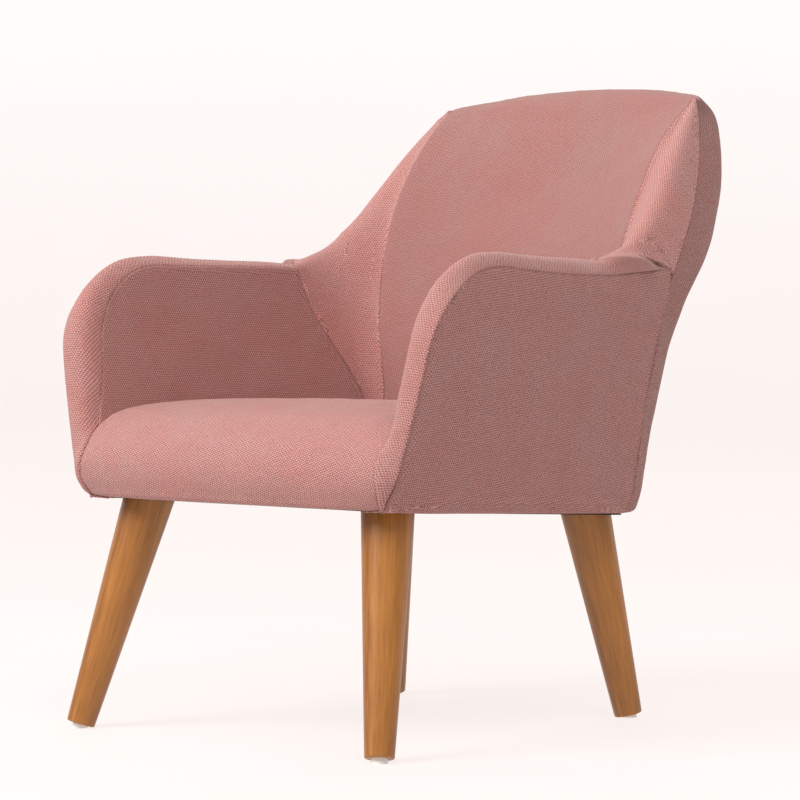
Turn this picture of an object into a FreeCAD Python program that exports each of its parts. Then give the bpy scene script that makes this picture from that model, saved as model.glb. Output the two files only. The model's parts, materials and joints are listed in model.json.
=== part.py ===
import FreeCAD, Part
import math
import os

# Upholstered tub armchair on four tapered splayed legs.
# Millimetres, +Z up, the sitter faces -Y, the chair is symmetric about X = 0.
# The chair is drawn about the middle of its feet and moved at the end, so that
# the origin lies on the floor under the middle of the overall box.

V = FreeCAD.Vector
os.makedirs("parts", exist_ok=True)

# ---------------------------------------------------------------- driving sizes
HALF_WIDTH = 314.0          # widest point of the outside arm
FRONT_Y = -262.0            # foot of the arm front
TOP_BACK_Y = 446.0          # rearmost line of the back, near its top
BODY_BOTTOM_Z = 288.0       # bottom edge of the body at the front
BOTTOM_SLOPE = 0.055        # the bottom edge drops towards the rear
SEAT_Z = 407.0              # crown of the seat
ARM_SEAM_Z = 573.0          # outer seam along the arm top
BACK_TOP_Z = 824.0          # crown of the back

ARM_FLARE = 58.0            # the outside arm leans out this far from bottom to widest
ARM_FLARE_TOP = 33.0        # the widest point lies this far below the arm seam
ARM_CURL = 4.0              # the outside arm curls back in above it
REAR_FLARE = 32.0           # lean of the outside at the rear end of the arm
REAR_NARROWING = 22.0       # the body is this much narrower per side at the rear bottom
ARM_BOW = 6.0               # outward bow of the outside arm in plan
SEAT_HALF_WIDTH = 252.5     # between the inside arms, at the front at seat height
INNER_LEAN = 0.20           # outward lean of the inside arm per mm of height
INNER_TAPER = 0.12          # the inside arms close in per mm towards the rear
FRONT_LEAN = 0.09           # backward lean of the arm front at its outer seam
INNER_FRONT_LEAN = 0.25     # the same at its inner seam
CORNER_DEPTH = 134.0        # half axis in Y of the rounded arm corner
CORNER_HEIGHT = 118.0       # half axis in Z of the rounded arm corner
SEAM_SAG = 9.0              # the arm seam dips between the corner and the back
INNER_SEAM_RISE = 5.0       # the inner arm seam runs this much higher
STRIP_TAPER = 70.0          # height over which the strip widens from its foot
STRIP_CROWN = 13.0          # the boxing strip bulges this far out of its seams
STRIP_WIDTH = 50.0          # width at which the strip has its full crown
SEAT_FRONT = 8.0            # the seat front stands this far ahead of the arms
SEAT_FRONT_BULGE = 6.0      # and this much more at its middle

COVER = 2.5                 # fabric with its backing
GAP = 0.3                   # clearance between soft pieces, and to the frame
FOLD = 0.5                  # extra room under the cover where it turns over an edge
SEAM = 0.8                  # width of the sewn seams between panels
FIT = 0.05                  # radial clearance of screws, bolts, inserts and springs
PAD = 12.0                  # arm top and back top pads
WING_PAD = 6.0
WADDING = 3.5               # behind the outside back, and the least on the outside arms
BACK_SPLIT = 0.85           # share of the inside back below its top pad
SEAT_SPLIT = 0.14           # share of the seat panel in front of the front rail
WING_TIP = 0.95             # the wing panel narrows to nothing at its top corner

PLY = 12.0                  # side frames
PLY_X = 266.0               # side frame mid plane at the arm front, at seat height
PLY_LEAN = 0.20             # outward lean of the side frame per mm of height
PLY_TAPER = 0.075           # the side frames close in per mm towards the rear
RAIL = 20.0                 # thickness of the seat rails
FRONT_RAIL_SETBACK = 14.5   # front rail behind the foot of the arm front
SEAT_DECK = 62.0            # seat crown down to the top of the seat rails
SPRING_ROOM = 8.0           # room for springs and clips above the rails
SPRING_WIRE = 3.6
SPRING_WIDTH = 44.0
SPRING_STEP = 24.0          # from bar to bar of a zigzag spring
SPRING_X = (-162.0, -64.0, 0.0, 64.0, 162.0)
CLIP = (14.0, 18.0, 7.2)
BLOCK_INNER = 60.0          # a corner block reaches this far in from its leg
BLOCK_DEPTH = 58.0          # and this far from its leg, away from the rail

UPRIGHT = 18.0              # thickness of the back frame boards
UPRIGHT_WIDTH = 42.0
UPRIGHT_X = 114.0           # centre of each back upright
BACK_PLANE_Y = 262.0        # front of the back frame at seat height
BACK_SLOPE = 0.40           # lean of the back frame, Y per Z
RAIL_HEIGHT = 40.0          # height of the lumbar rail, the top rail and the wing braces
LUMBAR_RAIL = 14.0
TOP_RAIL_HALF = 180.0
TOP_RAIL_SETBACK = 7.0      # the top rail stands this far behind the uprights' face
WEBBING = 1.5
WEBBING_WIDTH = 50.0
WING_BOARD = 12.0
SCREW_RADIUS = 2.5
SCREW_OFFSET = 10.0         # a screw each side of the middle of an upright

DUST_COVER = 1.0
DUST_INSET = 16.0
LEG_CLEARANCE = 1.0

LEG_TOP_RADIUS = 32.2
LEG_FOOT_RADIUS = 17.8
LEG_EDGE = 2.0              # rounding of the foot end
LEG_SINK = 12.0             # the leg top enters the body this far
FRONT_FOOT = V(249.0, -268.0, 0)
REAR_FOOT = V(201.0, 268.0, 0)
FRONT_SPLAY = V(-0.178, 0.254, 1.0)     # run of the leg axis per mm of height
REAR_SPLAY = V(-0.1404, -0.1633, 1.0)
GLIDE_RADIUS = 10.0
BOLT_RADIUS = 4.0
BOLT_IN_LEG = 45.0
BOLT_IN_INSERT = 14.0
INSERT_RADIUS = 6.0
INSERT_LENGTH = 16.0

LEFT, RIGHT = "left", "right"
MIRROR = (V(0, 0, 0), V(1, 0, 0))


# ---------------------------------------------------------------- small tools
def lerp(a, b, t):
    return a + (b - a) * t


def clamp(value, low, high):
    return max(low, min(high, value))


def level_z(level):
    """Height of a level: 0 body bottom, 1 seat, 2 arm seam, 3 top of the back."""
    marks = (BODY_BOTTOM_Z, SEAT_Z, ARM_SEAM_Z, BACK_TOP_Z)
    i = int(clamp(math.floor(level), 0, 2))
    return lerp(marks[i], marks[i + 1], level - i)


def station(width, depth, level):
    """A seam point: share of the half width, share of the body depth, and a level."""
    return V(width * HALF_WIDTH, lerp(FRONT_Y, TOP_BACK_Y, depth), level_z(level))


def shares(lines):
    """Average share of the length at each point of several lines of points."""
    totals = [0.0] * len(lines[0])
    for line in lines:
        steps = [p.distanceToPoint(q) for p, q in zip(line, line[1:])]
        run = 0.0
        for i, step in enumerate(steps):
            run += step
            totals[i + 1] += run / (sum(steps) * len(lines))
    return totals


def through(points, knots, t):
    """The point at t of a smooth curve through points that lie at the knots."""
    last = len(points) - 2
    i = min(max(k for k in range(last + 1) if knots[k] <= max(t, 0.0)), last)

    def slope(k):
        return (points[k + 1] - points[k]) / (knots[k + 1] - knots[k])

    def tangent(k):
        if k == 0:
            return slope(0)
        if k == last + 1:
            return slope(last)
        before, after = knots[k] - knots[k - 1], knots[k + 1] - knots[k]
        return (slope(k - 1) * after + slope(k) * before) / (before + after)

    step = knots[i + 1] - knots[i]
    x = (t - knots[i]) / step
    start, end = tangent(i) * step, tangent(i + 1) * step
    return (points[i] * (2 * x**3 - 3 * x**2 + 1) + start * (x**3 - 2 * x**2 + x)
            + points[i + 1] * (3 * x**2 - 2 * x**3) + end * (x**3 - x**2))


def rail(points):
    """A smooth curve through points, as a function of 0..1."""
    knots = shares([points])
    return lambda t: through(points, knots, clamp(t, 0.0, 1.0))


def even_curve(points):
    curve = Part.BSplineCurve()
    steps = len(points) - 1
    curve.interpolate(Points=points, Parameters=[i / steps for i in range(steps + 1)])
    return curve


def surface(net):
    """A smooth surface through an evenly spaced net."""
    rows = [even_curve(row) for row in net]
    columns = [even_curve(list(poles)) for poles in zip(*(row.getPoles() for row in rows))]
    along, across = columns[0], rows[0]
    patch = Part.BSplineSurface()
    patch.buildFromPolesMultsKnots(
        [list(poles) for poles in zip(*(column.getPoles() for column in columns))],
        along.getMultiplicities(), across.getMultiplicities(),
        along.getKnots(), across.getKnots(), False, False, along.Degree, across.Degree)
    return patch


def block(net_a, net_b):
    """The closed solid between two nets of the same layout."""
    a, b = surface(net_a), surface(net_b)
    faces = [a.toShape(), b.toShape()]
    for pick in ("uIso", "vIso"):
        for end in (0.0, 1.0):
            edge_a = getattr(a, pick)(end).toShape()
            edge_b = getattr(b, pick)(end).toShape()
            faces.append(Part.makeRuledSurface(edge_a, edge_b, 1))
    shell = Part.makeShell(faces)
    shell.sewShape()
    solid = Part.makeSolid(shell)
    if solid.Volume < 0:
        solid.reverse()
    return solid


class Panel:
    """A sewn panel: a smooth surface through a net, u along it and v across it.

    The mitre is the inset of a lower face at the seams, per mm of depth."""

    def __init__(self, net, outward, mitre=1.0):
        self.net = net
        self.mitre = mitre
        self.u_knots = shares([list(line) for line in zip(*net)])
        self.v_knots = shares(net)
        self.u_length = self.length([row[len(row) // 2] for row in net])
        self.widths = [self.length(row) for row in net]
        self.sign = 1.0
        if self.inward(0.5, 0.5).dot(outward) > 0:
            self.sign = -1.0

    @staticmethod
    def length(points):
        return sum(p.distanceToPoint(q) for p, q in zip(points, points[1:]))

    def width(self, u):
        i = max(k for k in range(len(self.net) - 1) if self.u_knots[k] <= max(u, 0.0))
        share = (u - self.u_knots[i]) / (self.u_knots[i + 1] - self.u_knots[i])
        return lerp(self.widths[i], self.widths[i + 1], share)

    def skin(self, u, v):
        line = [through(row, self.v_knots, v) for row in self.net]
        return through(line, self.u_knots, u)

    def inward(self, u, v):
        step = 0.01
        low_u, high_u = max(u - step, 0.0), min(u + step, 1.0)
        low_v, high_v = max(v - step, 0.0), min(v + step, 1.0)
        along = self.skin(high_u, v) - self.skin(low_u, v)
        across = self.skin(u, high_v) - self.skin(u, low_v)
        return along.cross(across).normalize() * self.sign

    def grid(self, depth, count, edge=None, u_range=(0.0, 1.0), v_range=(0.0, 1.0)):
        """Points at a depth below the skin, mitred along the seams."""
        edge = depth * self.mitre + SEAM / 2 if edge is None else edge
        rows = []
        for i in range(count[0]):
            u_edge = min(edge / self.u_length, 0.3)
            u = lerp(u_range[0] + u_edge, u_range[1] - u_edge, i / (count[0] - 1))
            v_edge = min(edge / self.width(u), 0.35)
            row = []
            for j in range(count[1]):
                v = lerp(v_range[0] + v_edge, v_range[1] - v_edge, j / (count[1] - 1))
                row.append(self.skin(u, v) + self.inward(u, v) * depth)
            rows.append(row)
        return rows

    def layer(self, top, bottom, count, **ranges):
        return block(self.grid(top, count, **ranges), self.grid(bottom, count, **ranges))

    def cover(self, count=(12, 9)):
        return self.layer(0.0, COVER, count)


def half_space(point, normal, size=1500.0):
    """A big box on the side of a plane that the normal points to."""
    box = Part.makeBox(size, size, size, V(-size / 2, -size / 2, 0))
    box.Placement = FreeCAD.Placement(point, FreeCAD.Rotation(V(0, 0, 1), normal))
    return box


def cylinder(start, axis, radius, length):
    return Part.makeCylinder(radius, length, start, axis)


def compound(shapes):
    solids = []
    for shape in shapes:
        solids += shape.Solids
    return Part.makeCompound(solids)


def mirrored(shape):
    return shape.mirror(*MIRROR)


pieces = {}


def save(name, shape):
    pieces[name] = shape


def save_pair(name, shape):
    """The +X piece is the sitter's left, its mirror image is the right."""
    save(LEFT + "_" + name, shape)
    save(RIGHT + "_" + name, mirrored(shape))


# ---------------------------------------------------------------- outline of the body
CORNER_Z = ARM_SEAM_Z - CORNER_HEIGHT
CORNER_Y = FRONT_Y + FRONT_LEAN * (CORNER_Z - BODY_BOTTOM_Z) + CORNER_DEPTH
INNER_CORNER_Y = FRONT_Y + INNER_FRONT_LEAN * (CORNER_Z - BODY_BOTTOM_Z)
INNER_CORNER_DEPTH = CORNER_Y - INNER_CORNER_Y
ARM_REAR_Y = station(0, 0.754, 0).y         # rear end of the outside arm
PINCH = (ARM_REAR_Y, level_z(2.004))        # where the arm seam turns up the back
CROSS = (station(0, 0.542, 0).y, level_z(2.016))    # inner arm seam meets the wing


def bottom_z(y):
    return BODY_BOTTOM_Z - BOTTOM_SLOPE * (y - FRONT_Y)


def outer_x(y, z):
    """Half width of the outside arm."""
    widest_z = ARM_SEAM_Z - ARM_FLARE_TOP
    rise = clamp((z - BODY_BOTTOM_Z) / (widest_z - BODY_BOTTOM_Z), 0.0, 1.0)
    front = HALF_WIDTH - ARM_FLARE * (1 - rise) ** 1.35
    rear = HALF_WIDTH - ARM_FLARE - REAR_NARROWING + REAR_FLARE * rise ** 2
    back = clamp((y - FRONT_Y) / (ARM_REAR_Y - FRONT_Y), 0.0, 1.0)
    curl = ARM_CURL * clamp((z - widest_z) / ARM_FLARE_TOP, 0.0, 1.2) ** 2 * (1 - back)
    return lerp(front, rear, back) + ARM_BOW * math.sin(math.pi * back) - curl


def inner_x(y, z):
    """Half width between the inside arms."""
    return SEAT_HALF_WIDTH + INNER_LEAN * (z - SEAT_Z) - INNER_TAPER * (y - FRONT_Y)


def strip_taper(z):
    """The boxing strip narrows to a point towards its foot."""
    return clamp(1.0 - (z - bottom_z(FRONT_Y)) / STRIP_TAPER, 0.0, 0.85)


def strip_edge_x(y, z):
    """Half width at the seam between the boxing strip and the seat."""
    return lerp(inner_x(y, z), outer_x(y, z), strip_taper(z))


def front_outline(share, inner):
    """(y, z) up the arm front and round its corner: 0 foot, 1 end of the corner."""
    straight = 0.45
    depth = INNER_CORNER_DEPTH if inner else CORNER_DEPTH
    corner_y = CORNER_Y - depth
    rise = INNER_SEAM_RISE if inner else 0.0
    if share < straight:
        t = share / straight
        foot = bottom_z(FRONT_Y)
        return lerp(FRONT_Y, corner_y, t), lerp(foot, CORNER_Z, t)
    angle = math.pi / 2 * (share - straight) / (1 - straight)
    y = CORNER_Y - depth * math.cos(angle)
    return y, CORNER_Z + (CORNER_HEIGHT + rise) * math.sin(angle)


def top_outline(share, inner):
    """(y, z) along the arm top, from the corner to the back."""
    if inner:
        return lerp(CORNER_Y, CROSS[0], share), lerp(ARM_SEAM_Z + INNER_SEAM_RISE, CROSS[1], share)
    dip = SEAM_SAG * math.sin(math.pi * share)
    return lerp(CORNER_Y, PINCH[0], share), lerp(ARM_SEAM_Z, PINCH[1], share) - dip


HALF_CORNER = 0.725         # share of the front outline where a side panel has its corner
INNER_START = 0.19          # the inside arm panel starts here, above the seat rail


def arm_left(t, inner):
    start = INNER_START if inner else 0.0
    return front_outline(lerp(start, HALF_CORNER, t), inner)


def arm_top(t, inner):
    turn = 0.25
    if t < turn:
        return front_outline(lerp(HALF_CORNER, 1.0, t / turn), inner)
    return top_outline((t - turn) / (1 - turn), inner)


REAR_SEAM = rail([V(0, station(0, d, 0).y, level_z(lv)) for d, lv in (
    (0.688, -0.2), (0.708, 0.5), (0.726, 1.25), (0.742, 1.74), (0.754, 2.004))])
RAISED_SEAM = rail([V(0, station(0, d, 0).y, level_z(lv)) for d, lv in (
    (0.665, 0.58), (0.660, 0.92), (0.638, 1.15), (0.596, 1.43), (0.558, 1.72), (0.542, 2.016))])


def arm_net(inner, columns=13, rows=9):
    """Net of an arm side panel: u to the rear, v upwards."""
    side = RAISED_SEAM if inner else REAR_SEAM
    width = inner_x if inner else outer_x
    foot = arm_left(0.0, inner)
    end = side(0.0)
    top_start, top_end = arm_top(0.0, inner), arm_top(1.0, inner)
    net = []
    for i in range(columns):
        u = i / (columns - 1)
        column = []
        for j in range(rows):
            v = j / (rows - 1)
            left, right, top = arm_left(v, inner), side(v), arm_top(u, inner)
            low = (lerp(foot[0], end.y, u), lerp(foot[1], end.z, u))
            mixed = []
            for k, right_k, end_k in ((0, right.y, end.y), (1, right.z, end.z)):
                ruled = lerp(left[k], right_k, u) + lerp(low[k], top[k], v)
                corners = lerp(lerp(foot[k], end_k, u), lerp(top_start[k], top_end[k], u), v)
                mixed.append(ruled - corners)
            y, z = mixed
            column.append(V(width(y, z), y, z))
        net.append(column)
    return net


# ---------------------------------------------------------------- boxing strip
def strip_net():
    """u from the front foot over the arm to the pinch, v from outer to inner seam."""
    outer, inner = [], []
    for share in (0.03, 0.17, 0.31, 0.45, 0.59, 0.725, 0.86, 1.0):
        y, z = front_outline(share, False)
        outer.append(V(outer_x(y, z), y, z))
        y_in, z_in = front_outline(share, True)
        inner.append(V(strip_edge_x(y_in, z_in), y_in, z_in))
    for share in (0.19, 0.38, 0.56):
        y, z = top_outline(share, False)
        outer.append(V(outer_x(y, z), y, z))
    for share in (0.33, 0.66, 0.98):
        y, z = top_outline(share, True)
        inner.append(V(inner_x(y, z), y, z))
    for share in (0.72, 0.86, 0.96):
        y, z = top_outline(share, False)
        outer.append(V(outer_x(y, z), y, z))
    inner += CROSS_SEAM[1:4]
    net = []
    for i, (a, b) in enumerate(zip(outer, inner)):
        before, after = outer[max(i - 1, 0)], outer[min(i + 1, len(outer) - 1)]
        along = after - before
        across = (b - a)
        bulge = along.cross(across).normalize()
        if bulge.z - bulge.y < 0:
            bulge = bulge * -1
        crown = STRIP_CROWN * min(across.Length / STRIP_WIDTH, 1.0)
        row = []
        for t in (0.0, 0.2, 0.4, 0.6, 0.8, 1.0):
            row.append(a + across * t + bulge * (crown * math.sin(math.pi * t)))
        net.append(row)
    return net


CROSS_SEAM = [
    V(inner_x(*CROSS), *CROSS),
    station(0.836, 0.545, 2.058),
    station(0.867, 0.605, 2.060),
    station(0.861, 0.690, 2.048),
    V(outer_x(*PINCH), *PINCH),
]

# ---------------------------------------------------------------- wing and back seams
OUTER_WING = [
    CROSS_SEAM[1],
    CROSS_SEAM[2],
    CROSS_SEAM[3],
    station(0.844, 0.778, 2.060),
    station(0.818, 0.829, 2.267),
    station(0.774, 0.879, 2.554),
    station(0.675, 0.935, 2.889),
]
CREST = [
    CROSS_SEAM[0],
    station(0.831, 0.596, 2.096),
    station(0.816, 0.653, 2.183),
    station(0.799, 0.716, 2.315),
    station(0.780, 0.767, 2.446),
    station(0.751, 0.839, 2.657),
    station(0.672, 0.932, 2.892),
]
CENTRE_SEAM = [
    station(0.546, 0.667, 0.580),
    station(0.535, 0.672, 0.940),
    station(0.586, 0.685, 1.560),
    station(0.631, 0.719, 2.047),
    station(0.650, 0.760, 2.331),
    station(0.650, 0.850, 2.693),
    station(0.662, 0.934, 2.893),
]
# centre line of the inside back: share of the depth and level, seat up to the rear seam
CENTRE_LINE = (
    (0.694, 0.58), (0.702, 0.94), (0.740, 1.44), (0.780, 1.92), (0.822, 2.19),
    (0.851, 2.33), (0.914, 2.69), (0.950, 2.90), (0.975, 3.000), (0.997, 2.972))
BACK_TURN = 0.8             # share of the inside back below its turn to the rear seam


def wing_net():
    """u from the raised seam to the top corner, v from the outside to the centre seam."""
    raised = [RAISED_SEAM(i / 5) for i in range(6)]
    seam = rail([V(inner_x(p.y, p.z), p.y, p.z) for p in raised])
    net = []
    for i in range(len(CREST)):
        outside, crest, centre = OUTER_WING[i], CREST[i], CENTRE_SEAM[i]
        if i == 0:
            inside = [seam(0.62), seam(0.3)]
        else:
            inside = [lerp(crest, centre, 0.34), lerp(crest, centre, 0.68)]
        shoulder = (outside + crest) * 0.5
        lift = (crest - centre).normalize() * (0.12 * outside.distanceToPoint(crest))
        net.append([outside, shoulder + lift, crest] + inside + [centre])
    return net


def back_net():
    """Inside back centre panel: u across from -X to +X, v from the seat to the rear seam."""
    edge = rail(CENTRE_SEAM)
    centre = rail([V(0, station(0, d, 0).y, level_z(lv)) for d, lv in CENTRE_LINE])
    top = rail([station(*p) for p in TOP_SEAM[::-1]] + [OUTER_WING[-1]])
    net = []
    rows = 13
    for share in (-1.0, -0.75, -0.5, -0.25, 0.0, 0.25, 0.5, 0.75, 1.0):
        end = V(top(abs(share)))
        end.x = math.copysign(end.x, share)
        column = []
        for j in range(rows):
            t = j / (rows - 1)
            side, middle = edge(min(t * 1.14, 1.0)), centre(t)
            bend = share * share
            place = V(share * side.x, lerp(middle.y, side.y, bend), lerp(middle.z, side.z, bend))
            if t > BACK_TURN:
                place = lerp(place, end, ((t - BACK_TURN) / (1 - BACK_TURN)) ** 2)
            column.append(place)
        net.append(column)
    return net


# rows of the outside back: level, half width, rear line as a share of the depth, corner radius
OUTSIDE_ROWS = (
    (-0.20, 0.739, 0.773, 60.0), (0.50, 0.751, 0.794, 60.0), (1.00, 0.762, 0.815, 60.0),
    (1.45, 0.780, 0.845, 60.0), (1.76, 0.809, 0.869, 58.0), (2.05, 0.842, 0.905, 56.0),
    (2.33, 0.828, 0.952, 52.0), (2.62, 0.768, 0.990, 46.0), (2.81, 0.705, 1.003, 40.0))
TOP_SEAM = (
    (0.659, 0.950, 2.898), (0.613, 0.972, 2.908), (0.542, 0.984, 2.922),
    (0.337, 0.992, 2.955), (0.0, 0.999, 2.972))


def outside_back_net():
    """u across from -X to +X, v upwards; the sides are the rear seam and the wing seam."""
    side_points = [REAR_SEAM(t) for t in (0.0, 0.25, 0.5, 0.75, 1.0)]
    side_points = [V(outer_x(p.y, p.z), p.y, p.z) for p in side_points] + OUTER_WING[3:]
    side = rail(side_points)
    rows = []
    for i, (level, half, depth, radius) in enumerate(OUTSIDE_ROWS):
        rear_y = lerp(FRONT_Y, TOP_BACK_Y, depth)
        z = level_z(level)
        half_width = half * HALF_WIDTH
        # the point of the side seam at this height, found by bisection
        low, high = 0.0, 1.0
        for _ in range(40):
            middle = (low + high) / 2
            if side(middle).z < z:
                low = middle
            else:
                high = middle
        row = [side(low)]
        centre_x, centre_y = half_width - radius, rear_y - radius
        for angle in (30.0, 52.0, 76.0):
            turn = math.radians(angle)
            row.append(V(centre_x + radius * math.cos(turn), centre_y + radius * math.sin(turn), z))
        row.append(V(half_width * 0.42, rear_y + 2.0, z))
        row.append(V(0, rear_y + 4.0, z))
        rows.append(row)
    rows.append([OUTER_WING[-1]] + [station(*p) for p in TOP_SEAM])
    full = []
    for row in rows:
        left = [V(-p.x, p.y, p.z) for p in row[:-1]]
        full.append(left + [row[-1]] + row[:-1][::-1])
    columns = len(full[0])
    return [[full[j][i] for j in range(len(full))] for i in range(columns)]


# ---------------------------------------------------------------- seat
# side profile of the seat: distance behind the seat front, height below the crown
SEAT_PROFILE = (
    (10.0, 117.0), (2.0, 96.0), (0.0, 74.0), (7.0, 51.0), (22.0, 33.0), (48.0, 15.0),
    (82.0, 5.0), (125.0, 0.5), (220.0, 0.0), (330.0, 3.0), (420.0, 7.0), (501.0, 10.0))
SEAT_CROWN_DROP = 5.0       # the seat is this much lower at the arms


def seat_net(columns=11):
    """u across from -X to +X, v from the front bottom over the crown to the back."""
    profile = [(FRONT_Y - SEAT_FRONT + a, SEAT_Z - b) for a, b in SEAT_PROFILE]
    end_centre = station(0, 0.699, 0).y
    end_side = station(0, 0.655, 0).y
    last = len(profile) - 1
    net = []
    for i in range(columns):
        share = lerp(-1.0, 1.0, i / (columns - 1))
        column = []
        for j, (y, z) in enumerate(profile):
            if j == last:
                y = lerp(end_centre, end_side, share * share) - GAP
            half = (strip_edge_x(y, z) if j < 5 else inner_x(y, z)) - 2 * GAP
            drop = SEAT_CROWN_DROP * share ** 4 if j > 2 else 0.0
            bulge = SEAT_FRONT_BULGE * (1 - share * share) if j < 6 else 0.0
            column.append(V(share * half, y - bulge, z - drop))
        net.append(column)
    return net


OUT_ARM = Panel(arm_net(False), V(1, 0, 0))
IN_ARM = Panel(arm_net(True), V(-1, 0, 0), 1.8)
STRIP = Panel(strip_net(), V(0, -1, 1), 1.9)
WING = Panel(wing_net(), V(-1, -1, 0), 2.4)
BACK = Panel(back_net(), V(0, -1, 0))
OUT_BACK = Panel(outside_back_net(), V(0, 1, 0), 2.0)
SEAT = Panel(seat_net(), V(0, 0, 1))


UNDER_COVER = COVER + GAP

save_pair("outside_arm_cover", OUT_ARM.cover((19, 15)))
save_pair("inside_arm_cover", IN_ARM.cover((19, 15)))
save_pair("arm_boxing_cover", STRIP.cover((32, 6)))
save_pair("inside_wing_cover", WING.layer(0.0, COVER, (20, 19), u_range=(0.0, WING_TIP)))
save("inside_back_cover", BACK.cover((17, 25)))
save("outside_back_cover", OUT_BACK.cover((33, 21)))
save("seat_cover", SEAT.cover((13, 33)))


# ---------------------------------------------------------------- side frames
PLY_NORMAL = V(1, PLY_TAPER, -PLY_LEAN).normalize()
PLY_HALF = PLY / 2 / PLY_NORMAL.x


def ply_x(y, z):
    """Mid plane of the side frame."""
    return PLY_X + PLY_LEAN * (z - SEAT_Z) - PLY_TAPER * (y - FRONT_Y)


def above_bottom(clearance):
    """Everything above the sloping underside of the frame."""
    point = V(0, FRONT_Y, bottom_z(FRONT_Y) + clearance)
    return half_space(point, V(0, BOTTOM_SLOPE, 1).normalize())


FRAME_BOTTOM = DUST_COVER + 0.5
FRAME_SPACE = above_bottom(FRAME_BOTTOM)


def inside_of_ply():
    """Everything on the inner side of the +X side frame."""
    point = V(ply_x(FRONT_Y, SEAT_Z) - PLY_HALF, FRONT_Y, SEAT_Z)
    return half_space(point, PLY_NORMAL * -1)


def between_side_frames(shape):
    side = inside_of_ply()
    return shape.common(side).common(mirrored(side))


def side_frame():
    depth = UNDER_COVER + PAD + 6.5
    outline = []
    for i in range(13):
        u = lerp(0.16, 0.72, i / 12)
        p = STRIP.skin(u, 0.5) + STRIP.inward(u, 0.5) * depth
        outline.append(V(0, p.y, p.z))
    first, last = outline[0], outline[-1]
    foot_front = V(0, first.y, bottom_z(first.y) - 5)
    rear_top = V(0, station(0, 0.622, 0).y, level_z(1.83))
    rear_middle = V(0, station(0, 0.683, 0).y, level_z(1.25))
    rear_foot = V(0, station(0, 0.720, 0).y, level_z(0))
    rear_low = V(0, rear_foot.y, bottom_z(rear_foot.y) - 5)
    curve = Part.BSplineCurve()
    curve.interpolate(outline)
    corners = [last, rear_top, rear_middle, rear_foot, rear_low, foot_front, first]
    edges = [curve.toShape()]
    edges += [Part.makeLine(a, b) for a, b in zip(corners, corners[1:])]
    prism = Part.Face(Part.Wire(edges)).extrude(V(2 * HALF_WIDTH, 0, 0))
    inner = inside_of_ply()
    outer = half_space(V(ply_x(FRONT_Y, SEAT_Z) + PLY_HALF, FRONT_Y, SEAT_Z), PLY_NORMAL)
    board = prism.cut(inner).cut(outer).common(FRAME_SPACE)
    for foot, splay in (FRONT_LEG, REAR_LEG):
        board = board.cut(leg_room(foot, splay))
    return board


def to_ply(grid, side):
    """The same layout laid on one face of the side frame."""
    shift = side * (PLY_HALF + GAP)
    return [[V(ply_x(p.y, p.z) + shift, p.y, p.z) for p in row] for row in grid]


# ---------------------------------------------------------------- seat frame
DECK_Z = SEAT_Z - SEAT_DECK
RAIL_FRONT_Y = FRONT_Y + FRONT_RAIL_SETBACK
BACK_ANGLE = math.degrees(math.atan(BACK_SLOPE))
BACK_COS = math.cos(math.radians(BACK_ANGLE))


def back_board(x0, x1, depth0, depth1, z0, z1):
    """A board parallel to the back frame; depths run rearwards from its front face."""
    start, end = (z0 - SEAT_Z) / BACK_COS, (z1 - SEAT_Z) / BACK_COS
    box = Part.makeBox(x1 - x0, depth1 - depth0, end - start, V(x0, depth0, start))
    turn = FreeCAD.Rotation(V(1, 0, 0), -BACK_ANGLE)
    box.Placement = FreeCAD.Placement(V(0, BACK_PLANE_Y, SEAT_Z), turn).multiply(box.Placement)
    return box


def back_plane_y(z, depth=0.0):
    return BACK_PLANE_Y + BACK_SLOPE * (z - SEAT_Z) + depth / BACK_COS


def slab(z0, z1):
    return Part.makeBox(2000, 2000, z1 - z0, V(-1000, -1000, z0))


def front_seat_rail():
    box = Part.makeBox(2 * HALF_WIDTH, RAIL, DECK_Z, V(-HALF_WIDTH, RAIL_FRONT_Y, 0))
    room = leg_room(*FRONT_LEG)
    return between_side_frames(box.common(FRAME_SPACE)).cut(room).cut(mirrored(room))


def rear_seat_rail():
    low, high = REAR_RAIL_BOTTOM - 20, DECK_Z + 40
    board = back_board(-HALF_WIDTH, HALF_WIDTH, UPRIGHT, UPRIGHT + RAIL, low, high)
    return between_side_frames(board.common(slab(REAR_RAIL_BOTTOM, DECK_Z)))


# ---------------------------------------------------------------- legs
FRONT_LEG = (FRONT_FOOT, FRONT_SPLAY)
REAR_LEG = (REAR_FOOT, REAR_SPLAY)


def leg_axis(foot, splay):
    """Unit axis, foot face centre and top face centre of the +X leg."""
    axis = V(splay).normalize()
    tilt = math.sqrt(1 - axis.z ** 2)
    rise = (LEG_FOOT_RADIUS - LEG_EDGE) * tilt + LEG_EDGE * (1 - axis.z)
    start = V(foot.x, foot.y, rise)
    top_z = bottom_z(foot.y + splay.y * BODY_BOTTOM_Z) + LEG_SINK
    return axis, start, start + splay * (top_z - rise)


def leg_room(foot, splay):
    """The space a leg top needs in the boards around it."""
    axis, start, top = leg_axis(foot, splay)
    return cylinder(top - axis * 60, axis, LEG_TOP_RADIUS + LEG_CLEARANCE, 60)


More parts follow.
